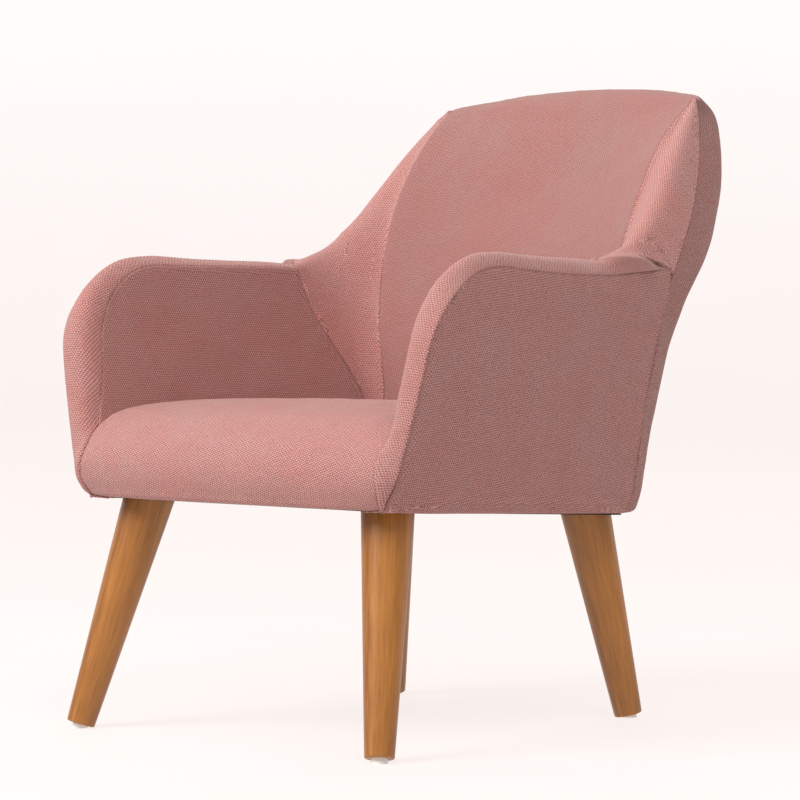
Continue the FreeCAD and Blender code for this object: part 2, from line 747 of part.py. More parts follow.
def leg_parts(foot, splay):
    """Leg, hanger bolt, insert and glide of the +X side, and the socket of the insert."""
    axis, start, top = leg_axis(foot, splay)
    length = start.distanceToPoint(top)
    cone = Part.makeCone(LEG_FOOT_RADIUS, LEG_TOP_RADIUS, length, start, axis)
    rims = [e for e in cone.Edges if e.Closed]
    leg = cone.makeFillet(LEG_EDGE, [min(rims, key=lambda e: e.CenterOfMass.z)])
    bolt = cylinder(top - axis * BOLT_IN_LEG, axis, BOLT_RADIUS, BOLT_IN_LEG + BOLT_IN_INSERT)
    hole = cylinder(top - axis * BOLT_IN_LEG, axis, BOLT_RADIUS + FIT, BOLT_IN_LEG)
    barrel = cylinder(top, axis, INSERT_RADIUS, INSERT_LENGTH)
    insert = barrel.cut(cylinder(top, axis, BOLT_RADIUS + FIT, INSERT_LENGTH))
    socket = cylinder(top, axis, INSERT_RADIUS + FIT, INSERT_LENGTH)
    reach = (start.z + GLIDE_RADIUS) / axis.z
    glide = cylinder(start - axis * reach, axis, GLIDE_RADIUS, reach)
    glide = glide.common(slab(0, start.z + GLIDE_RADIUS))
    return leg.cut(hole), bolt, insert, glide, socket


def corner_block(foot, splay, front):
    """Hardwood block between rail and side frame; its underside is square to the leg."""
    axis, start, top = leg_axis(foot, splay)
    inner = top.x - BLOCK_INNER
    if front:
        low, high = RAIL_FRONT_Y + RAIL, top.y + BLOCK_DEPTH
    else:
        low, high = top.y - BLOCK_DEPTH, back_plane_y(DECK_Z, UPRIGHT + RAIL)
        inner = max(inner, UPRIGHT_X + UPRIGHT_WIDTH / 2 + 1.0)
    box = Part.makeBox(HALF_WIDTH - inner, high - low, DECK_Z, V(inner, low, 0))
    box = box.common(half_space(top, axis)).common(inside_of_ply()).common(FRAME_SPACE)
    if not front:
        face = V(0, back_plane_y(DECK_Z, UPRIGHT), DECK_Z)
        box = box.common(half_space(face, V(0, -1, BACK_SLOPE).normalize()))
    return box


REAR_RAIL_BOTTOM = leg_axis(REAR_FOOT, REAR_SPLAY)[2].z + LEG_TOP_RADIUS * 0.5


# ---------------------------------------------------------------- springs and webbing
def zigzag(x, y0, y1, z):
    """A sinuous spring from rail to rail: bars across, joined by half circles."""
    bars = 2 * round((y1 - y0) / SPRING_STEP / 2)
    step = (y1 - y0) / bars
    radius = step / 2
    half = SPRING_WIDTH / 2 - radius
    edges = []
    side = 1.0
    for i in range(bars + 1):
        y = y0 + i * step
        start, end = V(x - side * half, y, z), V(x + side * half, y, z)
        edges.append(Part.makeLine(start, end))
        if i < bars:
            middle = V(x + side * (half + radius), y + radius, z)
            edges.append(Part.Arc(end, middle, V(end.x, y + step, z)).toShape())
        side = -side
    wire = Part.Wire(edges)
    start = edges[0].Vertexes[0].Point
    circle = Part.Wire(Part.makeCircle(SPRING_WIRE / 2, start, V(1, 0, 0)))
    return wire.makePipeShell([circle], True, False)


def springs_and_clips():
    spring_z = DECK_Z + CLIP[2] / 2
    front_y = RAIL_FRONT_Y + RAIL / 2
    rear_y = back_plane_y(DECK_Z, UPRIGHT + RAIL / 2)
    springs, clips = [], []
    for x in SPRING_X:
        springs.append(zigzag(x, front_y, rear_y, spring_z))
        for y in (front_y, rear_y):
            corner = V(x - CLIP[1] / 2, y - CLIP[0] / 2, DECK_Z)
            clip = Part.makeBox(CLIP[1], CLIP[0], CLIP[2], corner)
            bore = cylinder(V(x - CLIP[1], y, spring_z), V(1, 0, 0), SPRING_WIRE / 2 + FIT, 2 * CLIP[1])
            clips.append(clip.cut(bore))
    return compound(springs), compound(clips)


# ---------------------------------------------------------------- dust cover
def dust_cover():
    """Thin cloth under the seat, with holes for the legs."""
    outline = []
    corner = REAR_SEAM(0.0)
    for y in (FRONT_Y, lerp(FRONT_Y, corner.y, 0.5), corner.y):
        half = outer_x(y, bottom_z(y)) - DUST_INSET
        outline.append(V(half, max(y, FRONT_Y + DUST_INSET), 0))
    level, half, depth, radius = OUTSIDE_ROWS[0]
    rear = lerp(FRONT_Y, TOP_BACK_Y, depth) - UNDER_COVER - WADDING - 1.5
    outline.append(V(half * HALF_WIDTH - radius, rear, 0))
    points = outline + [V(-p.x, p.y, 0) for p in reversed(outline)]
    sheet = Part.Face(Part.makePolygon(points + [points[0]])).extrude(V(0, 0, SEAT_Z))
    sheet = sheet.common(above_bottom(0.5)).cut(FRAME_SPACE)
    for foot, splay in (FRONT_LEG, REAR_LEG):
        hole = leg_room(foot, splay)
        sheet = sheet.cut(hole).cut(mirrored(hole))
    return sheet


# ---------------------------------------------------------------- build
bolts, inserts = [], []

save_pair("side_frame", side_frame())

# back frame
upright_x0, upright_x1 = UPRIGHT_X - UPRIGHT_WIDTH / 2, UPRIGHT_X + UPRIGHT_WIDTH / 2
top_rail_z = level_z(2.63)
lumbar_z = level_z(1.34)
brace_z = level_z(2.19)
top_z = top_rail_z + RAIL_HEIGHT
upright = back_board(upright_x0, upright_x1, 0, UPRIGHT, REAR_RAIL_BOTTOM + 6, top_rail_z)
rail_depth = TOP_RAIL_SETBACK + UPRIGHT
top_rail = back_board(-TOP_RAIL_HALF, TOP_RAIL_HALF, TOP_RAIL_SETBACK, rail_depth, top_rail_z, top_z)
lumbar_x = upright_x1
lumbar_back = UPRIGHT + LUMBAR_RAIL
lumbar = back_board(-lumbar_x, lumbar_x, UPRIGHT, lumbar_back, lumbar_z, lumbar_z + RAIL_HEIGHT)
rear_rail = rear_seat_rail()
board_x = CENTRE_SEAM[4].x + 18.0
brace = back_board(upright_x1, board_x, 0, UPRIGHT, brace_z, brace_z + RAIL_HEIGHT)
wing_outline = [station(0, d, lv) for d, lv in (
    (0.730, 2.092), (0.756, 2.195), (0.794, 2.307), (0.826, 2.394), (0.895, 2.394), (0.886, 2.092))]
wing_corners = [V(board_x, p.y, p.z) for p in wing_outline + wing_outline[:1]]
wing_board = Part.Face(Part.makePolygon(wing_corners)).extrude(V(WING_BOARD, 0, 0))


def frame_screws(clearance):
    """Screws square to the back frame, heads flush with the front of the uprights."""
    axis = V(0, BACK_COS, -math.sin(math.radians(BACK_ANGLE)))
    screws = []
    for x in (UPRIGHT_X - SCREW_OFFSET, UPRIGHT_X + SCREW_OFFSET):
        for z, board in ((REAR_RAIL_BOTTOM + 28.0, RAIL), (lumbar_z + RAIL_HEIGHT / 2, LUMBAR_RAIL)):
            start = V(x, back_plane_y(z), z)
            screws.append(cylinder(start, axis, SCREW_RADIUS + clearance, UPRIGHT + board - 2.0))
    return compound(screws + [mirrored(s) for s in screws])


holes = frame_screws(FIT)
save_pair("back_upright", upright.cut(holes))
save("back_top_rail", top_rail)
save("lumbar_rail", lumbar.cut(holes))
save("rear_seat_rail", rear_rail.cut(holes))
save_pair("wing_brace", brace)
save_pair("wing_board", wing_board)
save("frame_screws", frame_screws(0.0))
save("front_seat_rail", front_seat_rail())

straps = []
for level in (1.72, 2.13, 2.42):
    z = level_z(level)
    straps.append(back_board(-upright_x1, upright_x1, -WEBBING, 0, z, z + WEBBING_WIDTH * BACK_COS))
save("back_webbing", compound(straps))

springs, clips = springs_and_clips()
save("seat_springs", springs)
save("spring_clips", clips)

for place, foot, splay in (("front", *FRONT_LEG), ("rear", *REAR_LEG)):
    leg, bolt, insert, glide, socket = leg_parts(foot, splay)
    block_piece = corner_block(foot, splay, place == "front").cut(socket)
    save_pair(place + "_leg", leg)
    save_pair(place + "_glide", glide)
    save_pair(place + "_corner_block", block_piece)
    bolts += [bolt, mirrored(bolt)]
    inserts += [insert, mirrored(insert)]
save("leg_hanger_bolts", compound(bolts))
save("leg_inserts", compound(inserts))
save("dust_cover", dust_cover())

# pads
save_pair("arm_top_foam", STRIP.layer(UNDER_COVER, UNDER_COVER + PAD, (32, 6), u_range=(0.12, 0.80)))
inside_front = IN_ARM.grid(UNDER_COVER, (19, 15))
save_pair("inside_arm_foam", block(inside_front, to_ply(IN_ARM.grid(0, (19, 15), edge=26.0), -1)))
outside_front = OUT_ARM.grid(UNDER_COVER, (19, 15))
outside_rear = to_ply(OUT_ARM.grid(0, (19, 15), edge=27.0), 1)
for front_row, rear_row in zip(outside_front, outside_rear):
    for outer, inner in zip(front_row, rear_row):
        inner.x = min(inner.x, outer.x - WADDING)
save_pair("outside_arm_wadding", block(outside_front, outside_rear))
wing_range = {"u_range": (0.0, 0.89), "v_range": (0.15, 1.0)}
wing_depth = UNDER_COVER + WING_PAD
save_pair("wing_foam", WING.layer(UNDER_COVER + FOLD, wing_depth, (20, 19), **wing_range))
save("outside_back_wadding", OUT_BACK.layer(UNDER_COVER, UNDER_COVER + WADDING, (33, 21)))
top_range = {"v_range": (BACK_SPLIT, 1.0)}
save("back_top_foam", BACK.layer(UNDER_COVER + FOLD, UNDER_COVER + PAD, (17, 12), **top_range))

back_front = BACK.grid(UNDER_COVER, (17, 21), v_range=(0.0, BACK_SPLIT))
back_rear = [[V(p.x, back_plane_y(p.z, -WEBBING) - GAP, p.z) for p in row] for row in back_front]
save("inside_back_foam", block(back_front, back_rear))

# the seat pad lies on the springs; the front pad hangs before the front rail
deck = DECK_Z + SPRING_ROOM
front_face = SEAT.grid(UNDER_COVER, (13, 8), v_range=(0.0, SEAT_SPLIT))
front_back = []
for row in front_face:
    heights = [lerp(row[0].z, deck - 2 * GAP, j / (len(row) - 1)) for j in range(len(row))]
    front_back.append([V(p.x, RAIL_FRONT_Y - GAP, z) for p, z in zip(row, heights)])
save("seat_front_foam", block(front_face, front_back))
seat_top = SEAT.grid(UNDER_COVER, (13, 28), v_range=(SEAT_SPLIT, 1.0))
seat_low = []
for i, row in enumerate(seat_top):
    share = lerp(-1.0, 1.0, i / (len(seat_top) - 1))
    front_shift = RAIL_FRONT_Y + GAP - row[0].y
    low_row = []
    for j, p in enumerate(row):
        y = p.y + lerp(front_shift, -7.0, j / (len(row) - 1))
        low_row.append(V(share * (inner_x(y, deck) - UNDER_COVER - GAP), y, deck))
    seat_low.append(low_row)
save("seat_foam", block(seat_top, seat_low))

# export about the middle of the overall box
boxes = [shape.optimalBoundingBox() for shape in pieces.values()]
middle_y = (min(box.YMin for box in boxes) + max(box.YMax for box in boxes)) / 2
for name, shape in pieces.items():
    shape.translated(V(0, -middle_y, 0)).exportStep("parts/" + name + ".step")
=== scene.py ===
import json
import math

import bpy
import numpy as np
from mathutils import Matrix, Vector


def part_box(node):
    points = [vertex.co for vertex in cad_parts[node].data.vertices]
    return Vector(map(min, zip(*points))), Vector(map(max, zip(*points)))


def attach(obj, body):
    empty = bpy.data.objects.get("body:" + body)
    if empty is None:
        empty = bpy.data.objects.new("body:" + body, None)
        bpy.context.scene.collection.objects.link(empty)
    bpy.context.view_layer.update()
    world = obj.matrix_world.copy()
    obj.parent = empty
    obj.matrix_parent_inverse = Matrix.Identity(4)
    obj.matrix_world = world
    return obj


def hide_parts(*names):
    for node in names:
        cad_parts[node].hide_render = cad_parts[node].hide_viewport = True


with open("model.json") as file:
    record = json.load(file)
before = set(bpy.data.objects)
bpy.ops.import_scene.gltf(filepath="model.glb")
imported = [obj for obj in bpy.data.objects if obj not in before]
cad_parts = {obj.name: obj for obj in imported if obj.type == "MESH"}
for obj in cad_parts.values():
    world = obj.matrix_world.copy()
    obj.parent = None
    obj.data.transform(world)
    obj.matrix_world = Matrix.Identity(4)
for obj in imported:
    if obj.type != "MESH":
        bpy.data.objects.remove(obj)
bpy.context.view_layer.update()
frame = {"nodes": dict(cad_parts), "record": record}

# Upholstered tub armchair on four tapered legs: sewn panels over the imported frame.
# The panels are drawn in the design's own millimetres, about the middle of the feet,
# and the frame's boxes place and scale them.

FEET = {m["name"]: Vector(m["pos_m"]) for m in frame["record"]["mounts"]}
MIDDLE_Y = (FEET["left_front_foot"].y + FEET["left_rear_foot"].y) / 2
COVER_HALF_WIDTH = 310.9    # the widest point of the arm cover, in the design's millimetres
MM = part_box("left_outside_arm_cover")[1].x / COVER_HALF_WIDTH

# ---------------------------------------------------------------- sizes of the body
HALF_WIDTH = 314.0
FRONT_Y = -262.0
TOP_BACK_Y = 446.0
BODY_BOTTOM_Z = 288.0
BOTTOM_SLOPE = 0.055
SEAT_Z = 407.0
ARM_SEAM_Z = 573.0
BACK_TOP_Z = 824.0
ARM_FLARE = 58.0
ARM_FLARE_TOP = 33.0
ARM_CURL = 4.0
REAR_FLARE = 32.0
REAR_NARROWING = 22.0
ARM_BOW = 6.0
SEAT_HALF_WIDTH = 252.5
INNER_LEAN = 0.20
INNER_TAPER = 0.12
FRONT_LEAN = 0.09
INNER_FRONT_LEAN = 0.25
CORNER_DEPTH = 134.0
CORNER_HEIGHT = 118.0
SEAM_SAG = 9.0
INNER_SEAM_RISE = 5.0
STRIP_TAPER = 70.0
STRIP_CROWN = 13.0
STRIP_WIDTH = 50.0
SEAT_FRONT = 8.0
SEAT_FRONT_BULGE = 6.0

# ---------------------------------------------------------------- look of the sewing
PITCH = 4.5                 # mesh spacing inside a panel
SHELL = 2.0                 # thickness of a panel's mesh
BEAD = 1.3                  # height of the rounded fabric beside a seam
BEAD_REACH = 5.0
CROWN = 0.6                 # height of the padding in the middle of a panel
CROWN_REACH = 45.0
PUCKER = 0.45               # small gathers along the seams
PUCKER_REACH = 10.0
CORNER_CROWN = 9.0          # the boxing strip is fuller round the arm's front corner
HEM_ROLL = 6.0
CORNER_DRAW = 13.0          # the covers are drawn in at the lower corners
CORNER_RISE = 45.0          # height over which they are
CORNER_FRONT = 70.0         # and how far behind the front
CORNER_REAR = (170.0, 60.0)     # where the draw at the rear begins, and the run to its full depth
CORNER_SIDE = (150.0, 100.0)    # the same across the chair
HEM = 20.0                  # the covers fold this far under the frame
FLAT_GRID = 26              # lines each way of the coarse grid that lays a panel flat
FLAT_PASSES = 900
FLAT_STEP = 0.11            # share of each length's error mended in one pass

# ---------------------------------------------------------------- legs
LEG_TOP_RADIUS = 32.2
LEG_FOOT_RADIUS = 17.8
LEG_EDGE = 2.0
LEG_SINK = 12.0
LEGS = {
    "front": (Vector((249.0, -268.0, 0)), Vector((-0.178, 0.254, 1.0))),
    "rear": (Vector((201.0, 268.0, 0)), Vector((-0.1404, -0.1633, 1.0))),
}


# ---------------------------------------------------------------- small tools
def lerp(a, b, t):
    return a + (b - a) * t


def clamp(value, low, high):
    return max(low, min(high, value))


def point(x, y, z):
    return np.array((x, y, z), float)


def level_z(level):
    """Height of a level: 0 body bottom, 1 seat, 2 arm seam, 3 top of the back."""
    marks = (BODY_BOTTOM_Z, SEAT_Z, ARM_SEAM_Z, BACK_TOP_Z)
    i = int(clamp(math.floor(level), 0, 2))
    return lerp(marks[i], marks[i + 1], level - i)


def station(width, depth, level):
    """A seam point: share of the half width, share of the body depth, and a level."""
    return point(width * HALF_WIDTH, lerp(FRONT_Y, TOP_BACK_Y, depth), level_z(level))


def length(points):
    points = np.asarray(points)
    return float(np.linalg.norm(np.diff(points, axis=0), axis=1).sum())


def shares(lines):
    """Average share of the length at each point of several lines of points."""
    runs = []
    for line in lines:
        steps = np.linalg.norm(np.diff(np.asarray(line), axis=0), axis=1)
        runs.append(np.concatenate(([0.0], np.cumsum(steps) / steps.sum())))
    return np.mean(runs, axis=0)


def through(points, knots, t):
    """The point at t of a smooth curve through points that lie at the knots."""
    last = len(points) - 2
    i = min(max(k for k in range(last + 1) if knots[k] <= max(t, 0.0)), last)

    def slope(k):
        return (points[k + 1] - points[k]) / (knots[k + 1] - knots[k])

    def tangent(k):
        if k == 0:
            return slope(0)
        if k == last + 1:
            return slope(last)
        before, after = knots[k] - knots[k - 1], knots[k + 1] - knots[k]
        return (slope(k - 1) * after + slope(k) * before) / (before + after)

    step = knots[i + 1] - knots[i]
    x = (t - knots[i]) / step
    start, end = tangent(i) * step, tangent(i + 1) * step
    return (points[i] * (2 * x**3 - 3 * x**2 + 1) + start * (x**3 - 2 * x**2 + x)
            + points[i + 1] * (3 * x**2 - 2 * x**3) + end * (x**3 - x**2))


def rail(points):
    """A smooth curve through points, as a function of 0..1."""
    points = np.asarray(points)
    knots = shares([points])
    return lambda t: through(points, knots, clamp(t, 0.0, 1.0))


def weights(knots, ts):
    """How much each point counts at each t of a smooth curve."""
    unit = np.eye(len(knots))
    return np.array([through(unit, knots, t) for t in ts])


def frame_place(points):
    """Design millimetres to metres in the frame."""
    moved = np.asarray(points, float) * MM
    moved[..., 1] += MIDDLE_Y
    return moved


# ---------------------------------------------------------------- outline of the body
CORNER_Z = ARM_SEAM_Z - CORNER_HEIGHT
CORNER_Y = FRONT_Y + FRONT_LEAN * (CORNER_Z - BODY_BOTTOM_Z) + CORNER_DEPTH
INNER_CORNER_Y = FRONT_Y + INNER_FRONT_LEAN * (CORNER_Z - BODY_BOTTOM_Z)
INNER_CORNER_DEPTH = CORNER_Y - INNER_CORNER_Y
ARM_REAR_Y = station(0, 0.754, 0)[1]        # rear end of the outside arm
PINCH = (ARM_REAR_Y, level_z(2.004))        # where the arm seam turns up the back
CROSS = (station(0, 0.542, 0)[1], level_z(2.016))   # inner arm seam meets the wing
HALF_CORNER = 0.725         # share of the front outline where a side panel has its corner
INNER_START = 0.19          # the inside arm panel starts here, above the seat rail


def bottom_z(y):
    return BODY_BOTTOM_Z - BOTTOM_SLOPE * (y - FRONT_Y)


def outer_x(y, z):
    """Half width of the outside arm."""
    widest_z = ARM_SEAM_Z - ARM_FLARE_TOP
    rise = clamp((z - BODY_BOTTOM_Z) / (widest_z - BODY_BOTTOM_Z), 0.0, 1.0)
    front = HALF_WIDTH - ARM_FLARE * (1 - rise) ** 1.35
    rear = HALF_WIDTH - ARM_FLARE - REAR_NARROWING + REAR_FLARE * rise ** 2
    back = clamp((y - FRONT_Y) / (ARM_REAR_Y - FRONT_Y), 0.0, 1.0)
    curl = ARM_CURL * clamp((z - widest_z) / ARM_FLARE_TOP, 0.0, 1.2) ** 2 * (1 - back)
    return lerp(front, rear, back) + ARM_BOW * math.sin(math.pi * back) - curl


def inner_x(y, z):
    """Half width between the inside arms."""
    return SEAT_HALF_WIDTH + INNER_LEAN * (z - SEAT_Z) - INNER_TAPER * (y - FRONT_Y)


def strip_edge_x(y, z):
    """Half width at the seam between the boxing strip and the seat."""
    taper = clamp(1.0 - (z - bottom_z(FRONT_Y)) / STRIP_TAPER, 0.0, 1.0) ** 1.6 * 0.9
    return lerp(inner_x(y, z), outer_x(y, z), taper)


def front_outline(share, inner):
    """(y, z) up the arm front and round its corner: 0 foot, 1 end of the corner."""
    straight = 0.45
    depth = INNER_CORNER_DEPTH if inner else CORNER_DEPTH
    corner_y = CORNER_Y - depth
    rise = INNER_SEAM_RISE if inner else 0.0
    if share < straight:
        t = share / straight
        return lerp(FRONT_Y, corner_y, t), lerp(bottom_z(FRONT_Y), CORNER_Z, t)
    angle = math.pi / 2 * (share - straight) / (1 - straight)
    y = CORNER_Y - depth * math.cos(angle)
    return y, CORNER_Z + (CORNER_HEIGHT + rise) * math.sin(angle)


def top_outline(share, inner):
    """(y, z) along the arm top, from the corner to the back."""
    if inner:
        top = ARM_SEAM_Z + INNER_SEAM_RISE
        return lerp(CORNER_Y, CROSS[0], share), lerp(top, CROSS[1], share)
    dip = SEAM_SAG * math.sin(math.pi * share)
    return lerp(CORNER_Y, PINCH[0], share), lerp(ARM_SEAM_Z, PINCH[1], share) - dip


def arm_left(t, inner):
    start = INNER_START if inner else 0.0
    return front_outline(lerp(start, HALF_CORNER, t), inner)


def arm_top(t, inner):
    turn = 0.25
    if t < turn:
        return front_outline(lerp(HALF_CORNER, 1.0, t / turn), inner)
    return top_outline((t - turn) / (1 - turn), inner)


REAR_SEAM = rail([(0, station(0, d, 0)[1], level_z(lv)) for d, lv in (
    (0.688, -0.2), (0.708, 0.5), (0.726, 1.25), (0.742, 1.74), (0.754, 2.004))])
RAISED_SEAM = rail([(0, station(0, d, 0)[1], level_z(lv)) for d, lv in (
    (0.665, 0.58), (0.660, 0.92), (0.638, 1.15), (0.596, 1.43), (0.558, 1.72), (0.542, 2.016))])
CROSS_SEAM = [
    point(inner_x(*CROSS), *CROSS),
    station(0.836, 0.545, 2.058),
    station(0.867, 0.605, 2.060),
    station(0.861, 0.690, 2.048),
    point(outer_x(*PINCH), *PINCH),
]
OUTER_WING = [
    CROSS_SEAM[1],
    CROSS_SEAM[2],
    CROSS_SEAM[3],
    station(0.844, 0.778, 2.060),
    station(0.818, 0.829, 2.267),
    station(0.774, 0.879, 2.554),
    station(0.675, 0.935, 2.889),
]
CREST = [
    CROSS_SEAM[0],
    station(0.831, 0.596, 2.096),
    station(0.816, 0.653, 2.183),
    station(0.799, 0.716, 2.315),
    station(0.780, 0.767, 2.446),
    station(0.751, 0.839, 2.657),
    station(0.672, 0.932, 2.892),
]
CENTRE_SEAM = [
    station(0.546, 0.667, 0.580),
    station(0.535, 0.672, 0.940),
    station(0.586, 0.685, 1.560),
    station(0.631, 0.719, 2.047),
    station(0.650, 0.760, 2.331),
    station(0.650, 0.850, 2.693),
    station(0.662, 0.934, 2.893),
]
CENTRE_LINE = [(0, station(0, d, 0)[1], level_z(lv)) for d, lv in (
    (0.694, 0.58), (0.702, 0.94), (0.740, 1.44), (0.780, 1.92), (0.822, 2.19),
    (0.851, 2.33), (0.914, 2.69), (0.950, 2.90), (0.975, 3.000), (0.997, 2.972))]
BACK_TURN = 0.8             # above this share of its height the inside back turns over to the rear
EDGE_LEAD = 1.14            # the side seams reach the top before the middle does
# rows of the outside back: level, half width, rear line as a share of the depth, corner radius
OUTSIDE_ROWS = (
    (-0.20, 0.739, 0.773, 60.0), (0.50, 0.751, 0.794, 60.0), (1.00, 0.762, 0.815, 60.0),
    (1.45, 0.780, 0.845, 60.0), (1.76, 0.809, 0.869, 58.0), (2.05, 0.842, 0.905, 56.0),
    (2.33, 0.828, 0.952, 52.0), (2.62, 0.768, 0.990, 46.0), (2.81, 0.705, 1.003, 40.0))
TOP_SEAM = [station(*p) for p in (
    (0.0, 0.999, 2.972), (0.337, 0.992, 2.955), (0.542, 0.984, 2.922),
    (0.613, 0.972, 2.908), (0.659, 0.950, 2.898))] + [OUTER_WING[-1]]
# where the cover is drawn down over a corner of the padding: place, direction, depth, reach
DRAWN_DOWN = (
    (OUTER_WING[-1], (1.0, 0.2, 1.2), 3.5, 16.0),
    (CROSS_SEAM[1], (0.0, 0.0, 1.0), 3.0, 30.0),
    (CROSS_SEAM[1], (0.0, 0.0, 1.0), 2.5, 9.0))
# side profile of the seat: distance behind the seat front, height below the crown
SEAT_PROFILE = (
    (10.0, 117.0), (2.0, 96.0), (0.0, 74.0), (7.0, 51.0), (22.0, 33.0), (48.0, 15.0),
    (82.0, 5.0), (125.0, 0.5), (220.0, 0.0), (330.0, 3.0), (420.0, 7.0), (501.0, 10.0))
SEAT_CROWN_DROP = 5.0       # the seat is this much lower at the arms


def top_seam(share):
    """The rear top seam, by share of its half width."""
    knots = [p[0] / TOP_SEAM[-1][0] for p in TOP_SEAM]
    return through(np.asarray(TOP_SEAM), knots, share)


# ---------------------------------------------------------------- nets of the panels
def arm_net(inner):
    """Net of an arm side panel: u to the rear, v upwards."""
    side = RAISED_SEAM if inner else REAR_SEAM
    width = inner_x if inner else outer_x
    foot, end = arm_left(0.0, inner), side(0.0)[1:]
    top_start, top_end = arm_top(0.0, inner), arm_top(1.0, inner)
    net = []
    for u in np.linspace(0, 1, 13):
        column = []
        for v in np.linspace(0, 1, 9):
            left, right, top = arm_left(v, inner), side(v)[1:], arm_top(u, inner)
            mixed = []
            for k in (0, 1):
                low = lerp(foot[k], end[k], u)
                corners = lerp(low, lerp(top_start[k], top_end[k], u), v)
                mixed.append(lerp(left[k], right[k], u) + lerp(low, top[k], v) - corners)
            column.append(point(width(*mixed), *mixed))
        net.append(column)
    return net


def strip_net():
    """u from the front foot over the arm to the pinch, v from outer to inner seam."""
    outer, inner = [], []
    for share in (0.0, 0.17, 0.31, 0.45, 0.59, 0.725, 0.86, 1.0):
        y, z = front_outline(share, False)
        outer.append(point(outer_x(y, z), y, z))
        y, z = front_outline(share, True)
        inner.append(point(strip_edge_x(y, z), y, z))
    for share in (0.19, 0.38, 0.56, 0.72, 0.86, 0.96, 1.0):
        y, z = top_outline(share, False)
        outer.append(point(outer_x(y, z), y, z))
    for share in (0.33, 0.66, 0.98):
        y, z = top_outline(share, True)
        inner.append(point(inner_x(y, z), y, z))
    inner += list(CROSS_SEAM[1:4]) + [lerp(np.asarray(CROSS_SEAM[3]), np.asarray(CROSS_SEAM[4]), 0.95)]
    net = []
    for i, (a, b) in enumerate(zip(outer, inner)):
        along = outer[min(i + 1, len(outer) - 1)] - outer[max(i - 1, 0)]
        across = b - a
        bulge = np.cross(along, across)
        bulge /= max(np.linalg.norm(bulge), 1e-6)
        if bulge[2] - bulge[1] < 0:
            bulge = -bulge
        corner = math.exp(-((i - 6.0) / 2.0) ** 2)
        crown = (STRIP_CROWN + CORNER_CROWN * corner) * min(np.linalg.norm(across) / STRIP_WIDTH, 1.0)
        net.append([a + across * t + bulge * (crown * math.sin(math.pi * t))
                    for t in (0.0, 0.2, 0.4, 0.6, 0.8, 1.0)])
    return net


def wing_net():
    """u from the raised seam to the top corner, v from the outside to the centre seam."""
    raised = [RAISED_SEAM(i / 5) for i in range(6)]
    seam = rail([(inner_x(p[1], p[2]), p[1], p[2]) for p in raised])
    rows = list(zip(OUTER_WING, CREST, CENTRE_SEAM))
    pinch = [lerp(np.asarray(a), np.asarray(b), 0.5) for a, b in zip(rows[2], rows[3])]
    rows.insert(3, (CROSS_SEAM[4], pinch[1], pinch[2]))
    net = []
    for i, (outside, crest, centre) in enumerate(rows):
        inside = [lerp(crest, centre, 0.34), lerp(crest, centre, 0.68)]
        if i == 0:
            inside = [seam(0.62), seam(0.3)]
        lift = (crest - centre) / np.linalg.norm(crest - centre)
        raised_by = 0.12 * np.linalg.norm(outside - crest) if i else 0.0
        shoulder = (outside + crest) * 0.5 + lift * raised_by
        net.append([outside, shoulder, crest] + inside + [centre])
    return net


def back_net():
    """Inside back: u across from -X to +X, v from the seat to the rear seam."""
    edge, centre = rail(CENTRE_SEAM), rail(CENTRE_LINE)
    net = []
    for share in np.linspace(-1, 1, 9):
        column = []
        for t in np.linspace(0, 1, 13):
            side, middle = edge(min(t * EDGE_LEAD, 1.0)), centre(t)
            bend = share * share
            y, z = lerp(middle[1], side[1], bend), lerp(middle[2], side[2], bend)
            place = point(share * side[0], y, z)
            if t > BACK_TURN:
                end = top_seam(abs(share)) * (math.copysign(1.0, share), 1, 1)
                place = lerp(place, end, ((t - BACK_TURN) / (1 - BACK_TURN)) ** 2)
            column.append(place)
        net.append(column)
    return net


def outside_back_net():
    """u across from -X to +X, v upwards; the sides are the rear seam and the wing seam."""
    seam = [REAR_SEAM(t) for t in (0.0, 0.25, 0.5, 0.75, 1.0)]
    side = rail([point(outer_x(p[1], p[2]), p[1], p[2]) for p in seam] + OUTER_WING[3:])
    samples = np.array([side(t) for t in np.linspace(0, 1, 400)])
    rows = []
    for level, half, depth, radius in OUTSIDE_ROWS:
        z, half_width = level_z(level), half * HALF_WIDTH
        rear_y = lerp(FRONT_Y, TOP_BACK_Y, depth)
        edge = [np.interp(z, samples[:, 2], samples[:, k]) for k in range(3)]
        row = [point(*edge)]
        for angle in (30.0, 52.0, 76.0):
            turn = math.radians(angle)
            x, y = half_width - radius, rear_y - radius
            row.append(point(x + radius * math.cos(turn), y + radius * math.sin(turn), z))
        row.append(point(half_width * 0.42, rear_y + 2.0, z))
        row.append(point(0, rear_y + 4.0, z))
        rows.append(row)
    rows.append(TOP_SEAM[::-1])
    full = []
    for row in rows:
        full.append([p * (-1, 1, 1) for p in row[:-1]] + [row[-1]] + row[:-1][::-1])
    return [[row[i] for row in full] for i in range(len(full[0]))]


def seat_net():
    """u across from -X to +X, v from the front bottom over the crown to the back."""
    profile = [(FRONT_Y - SEAT_FRONT + a, SEAT_Z - b) for a, b in SEAT_PROFILE]
    end_centre, end_side = station(0, 0.699, 0)[1], station(0, 0.655, 0)[1]
    net = []
    for share in np.linspace(-1, 1, 11):
        column = []
        for j, (y, z) in enumerate(profile):
            if j == len(profile) - 1:
                y = lerp(end_centre, end_side, share * share)
            half = strip_edge_x(y, z) if j < 5 else inner_x(y, z)
            drop = SEAT_CROWN_DROP * share ** 4 if j > 2 else 0.0
            bulge = SEAT_FRONT_BULGE * (1 - share * share) if j < 6 else 0.0
            column.append(point(share * half, y - bulge, z - drop))
        net.append(column)
    return net


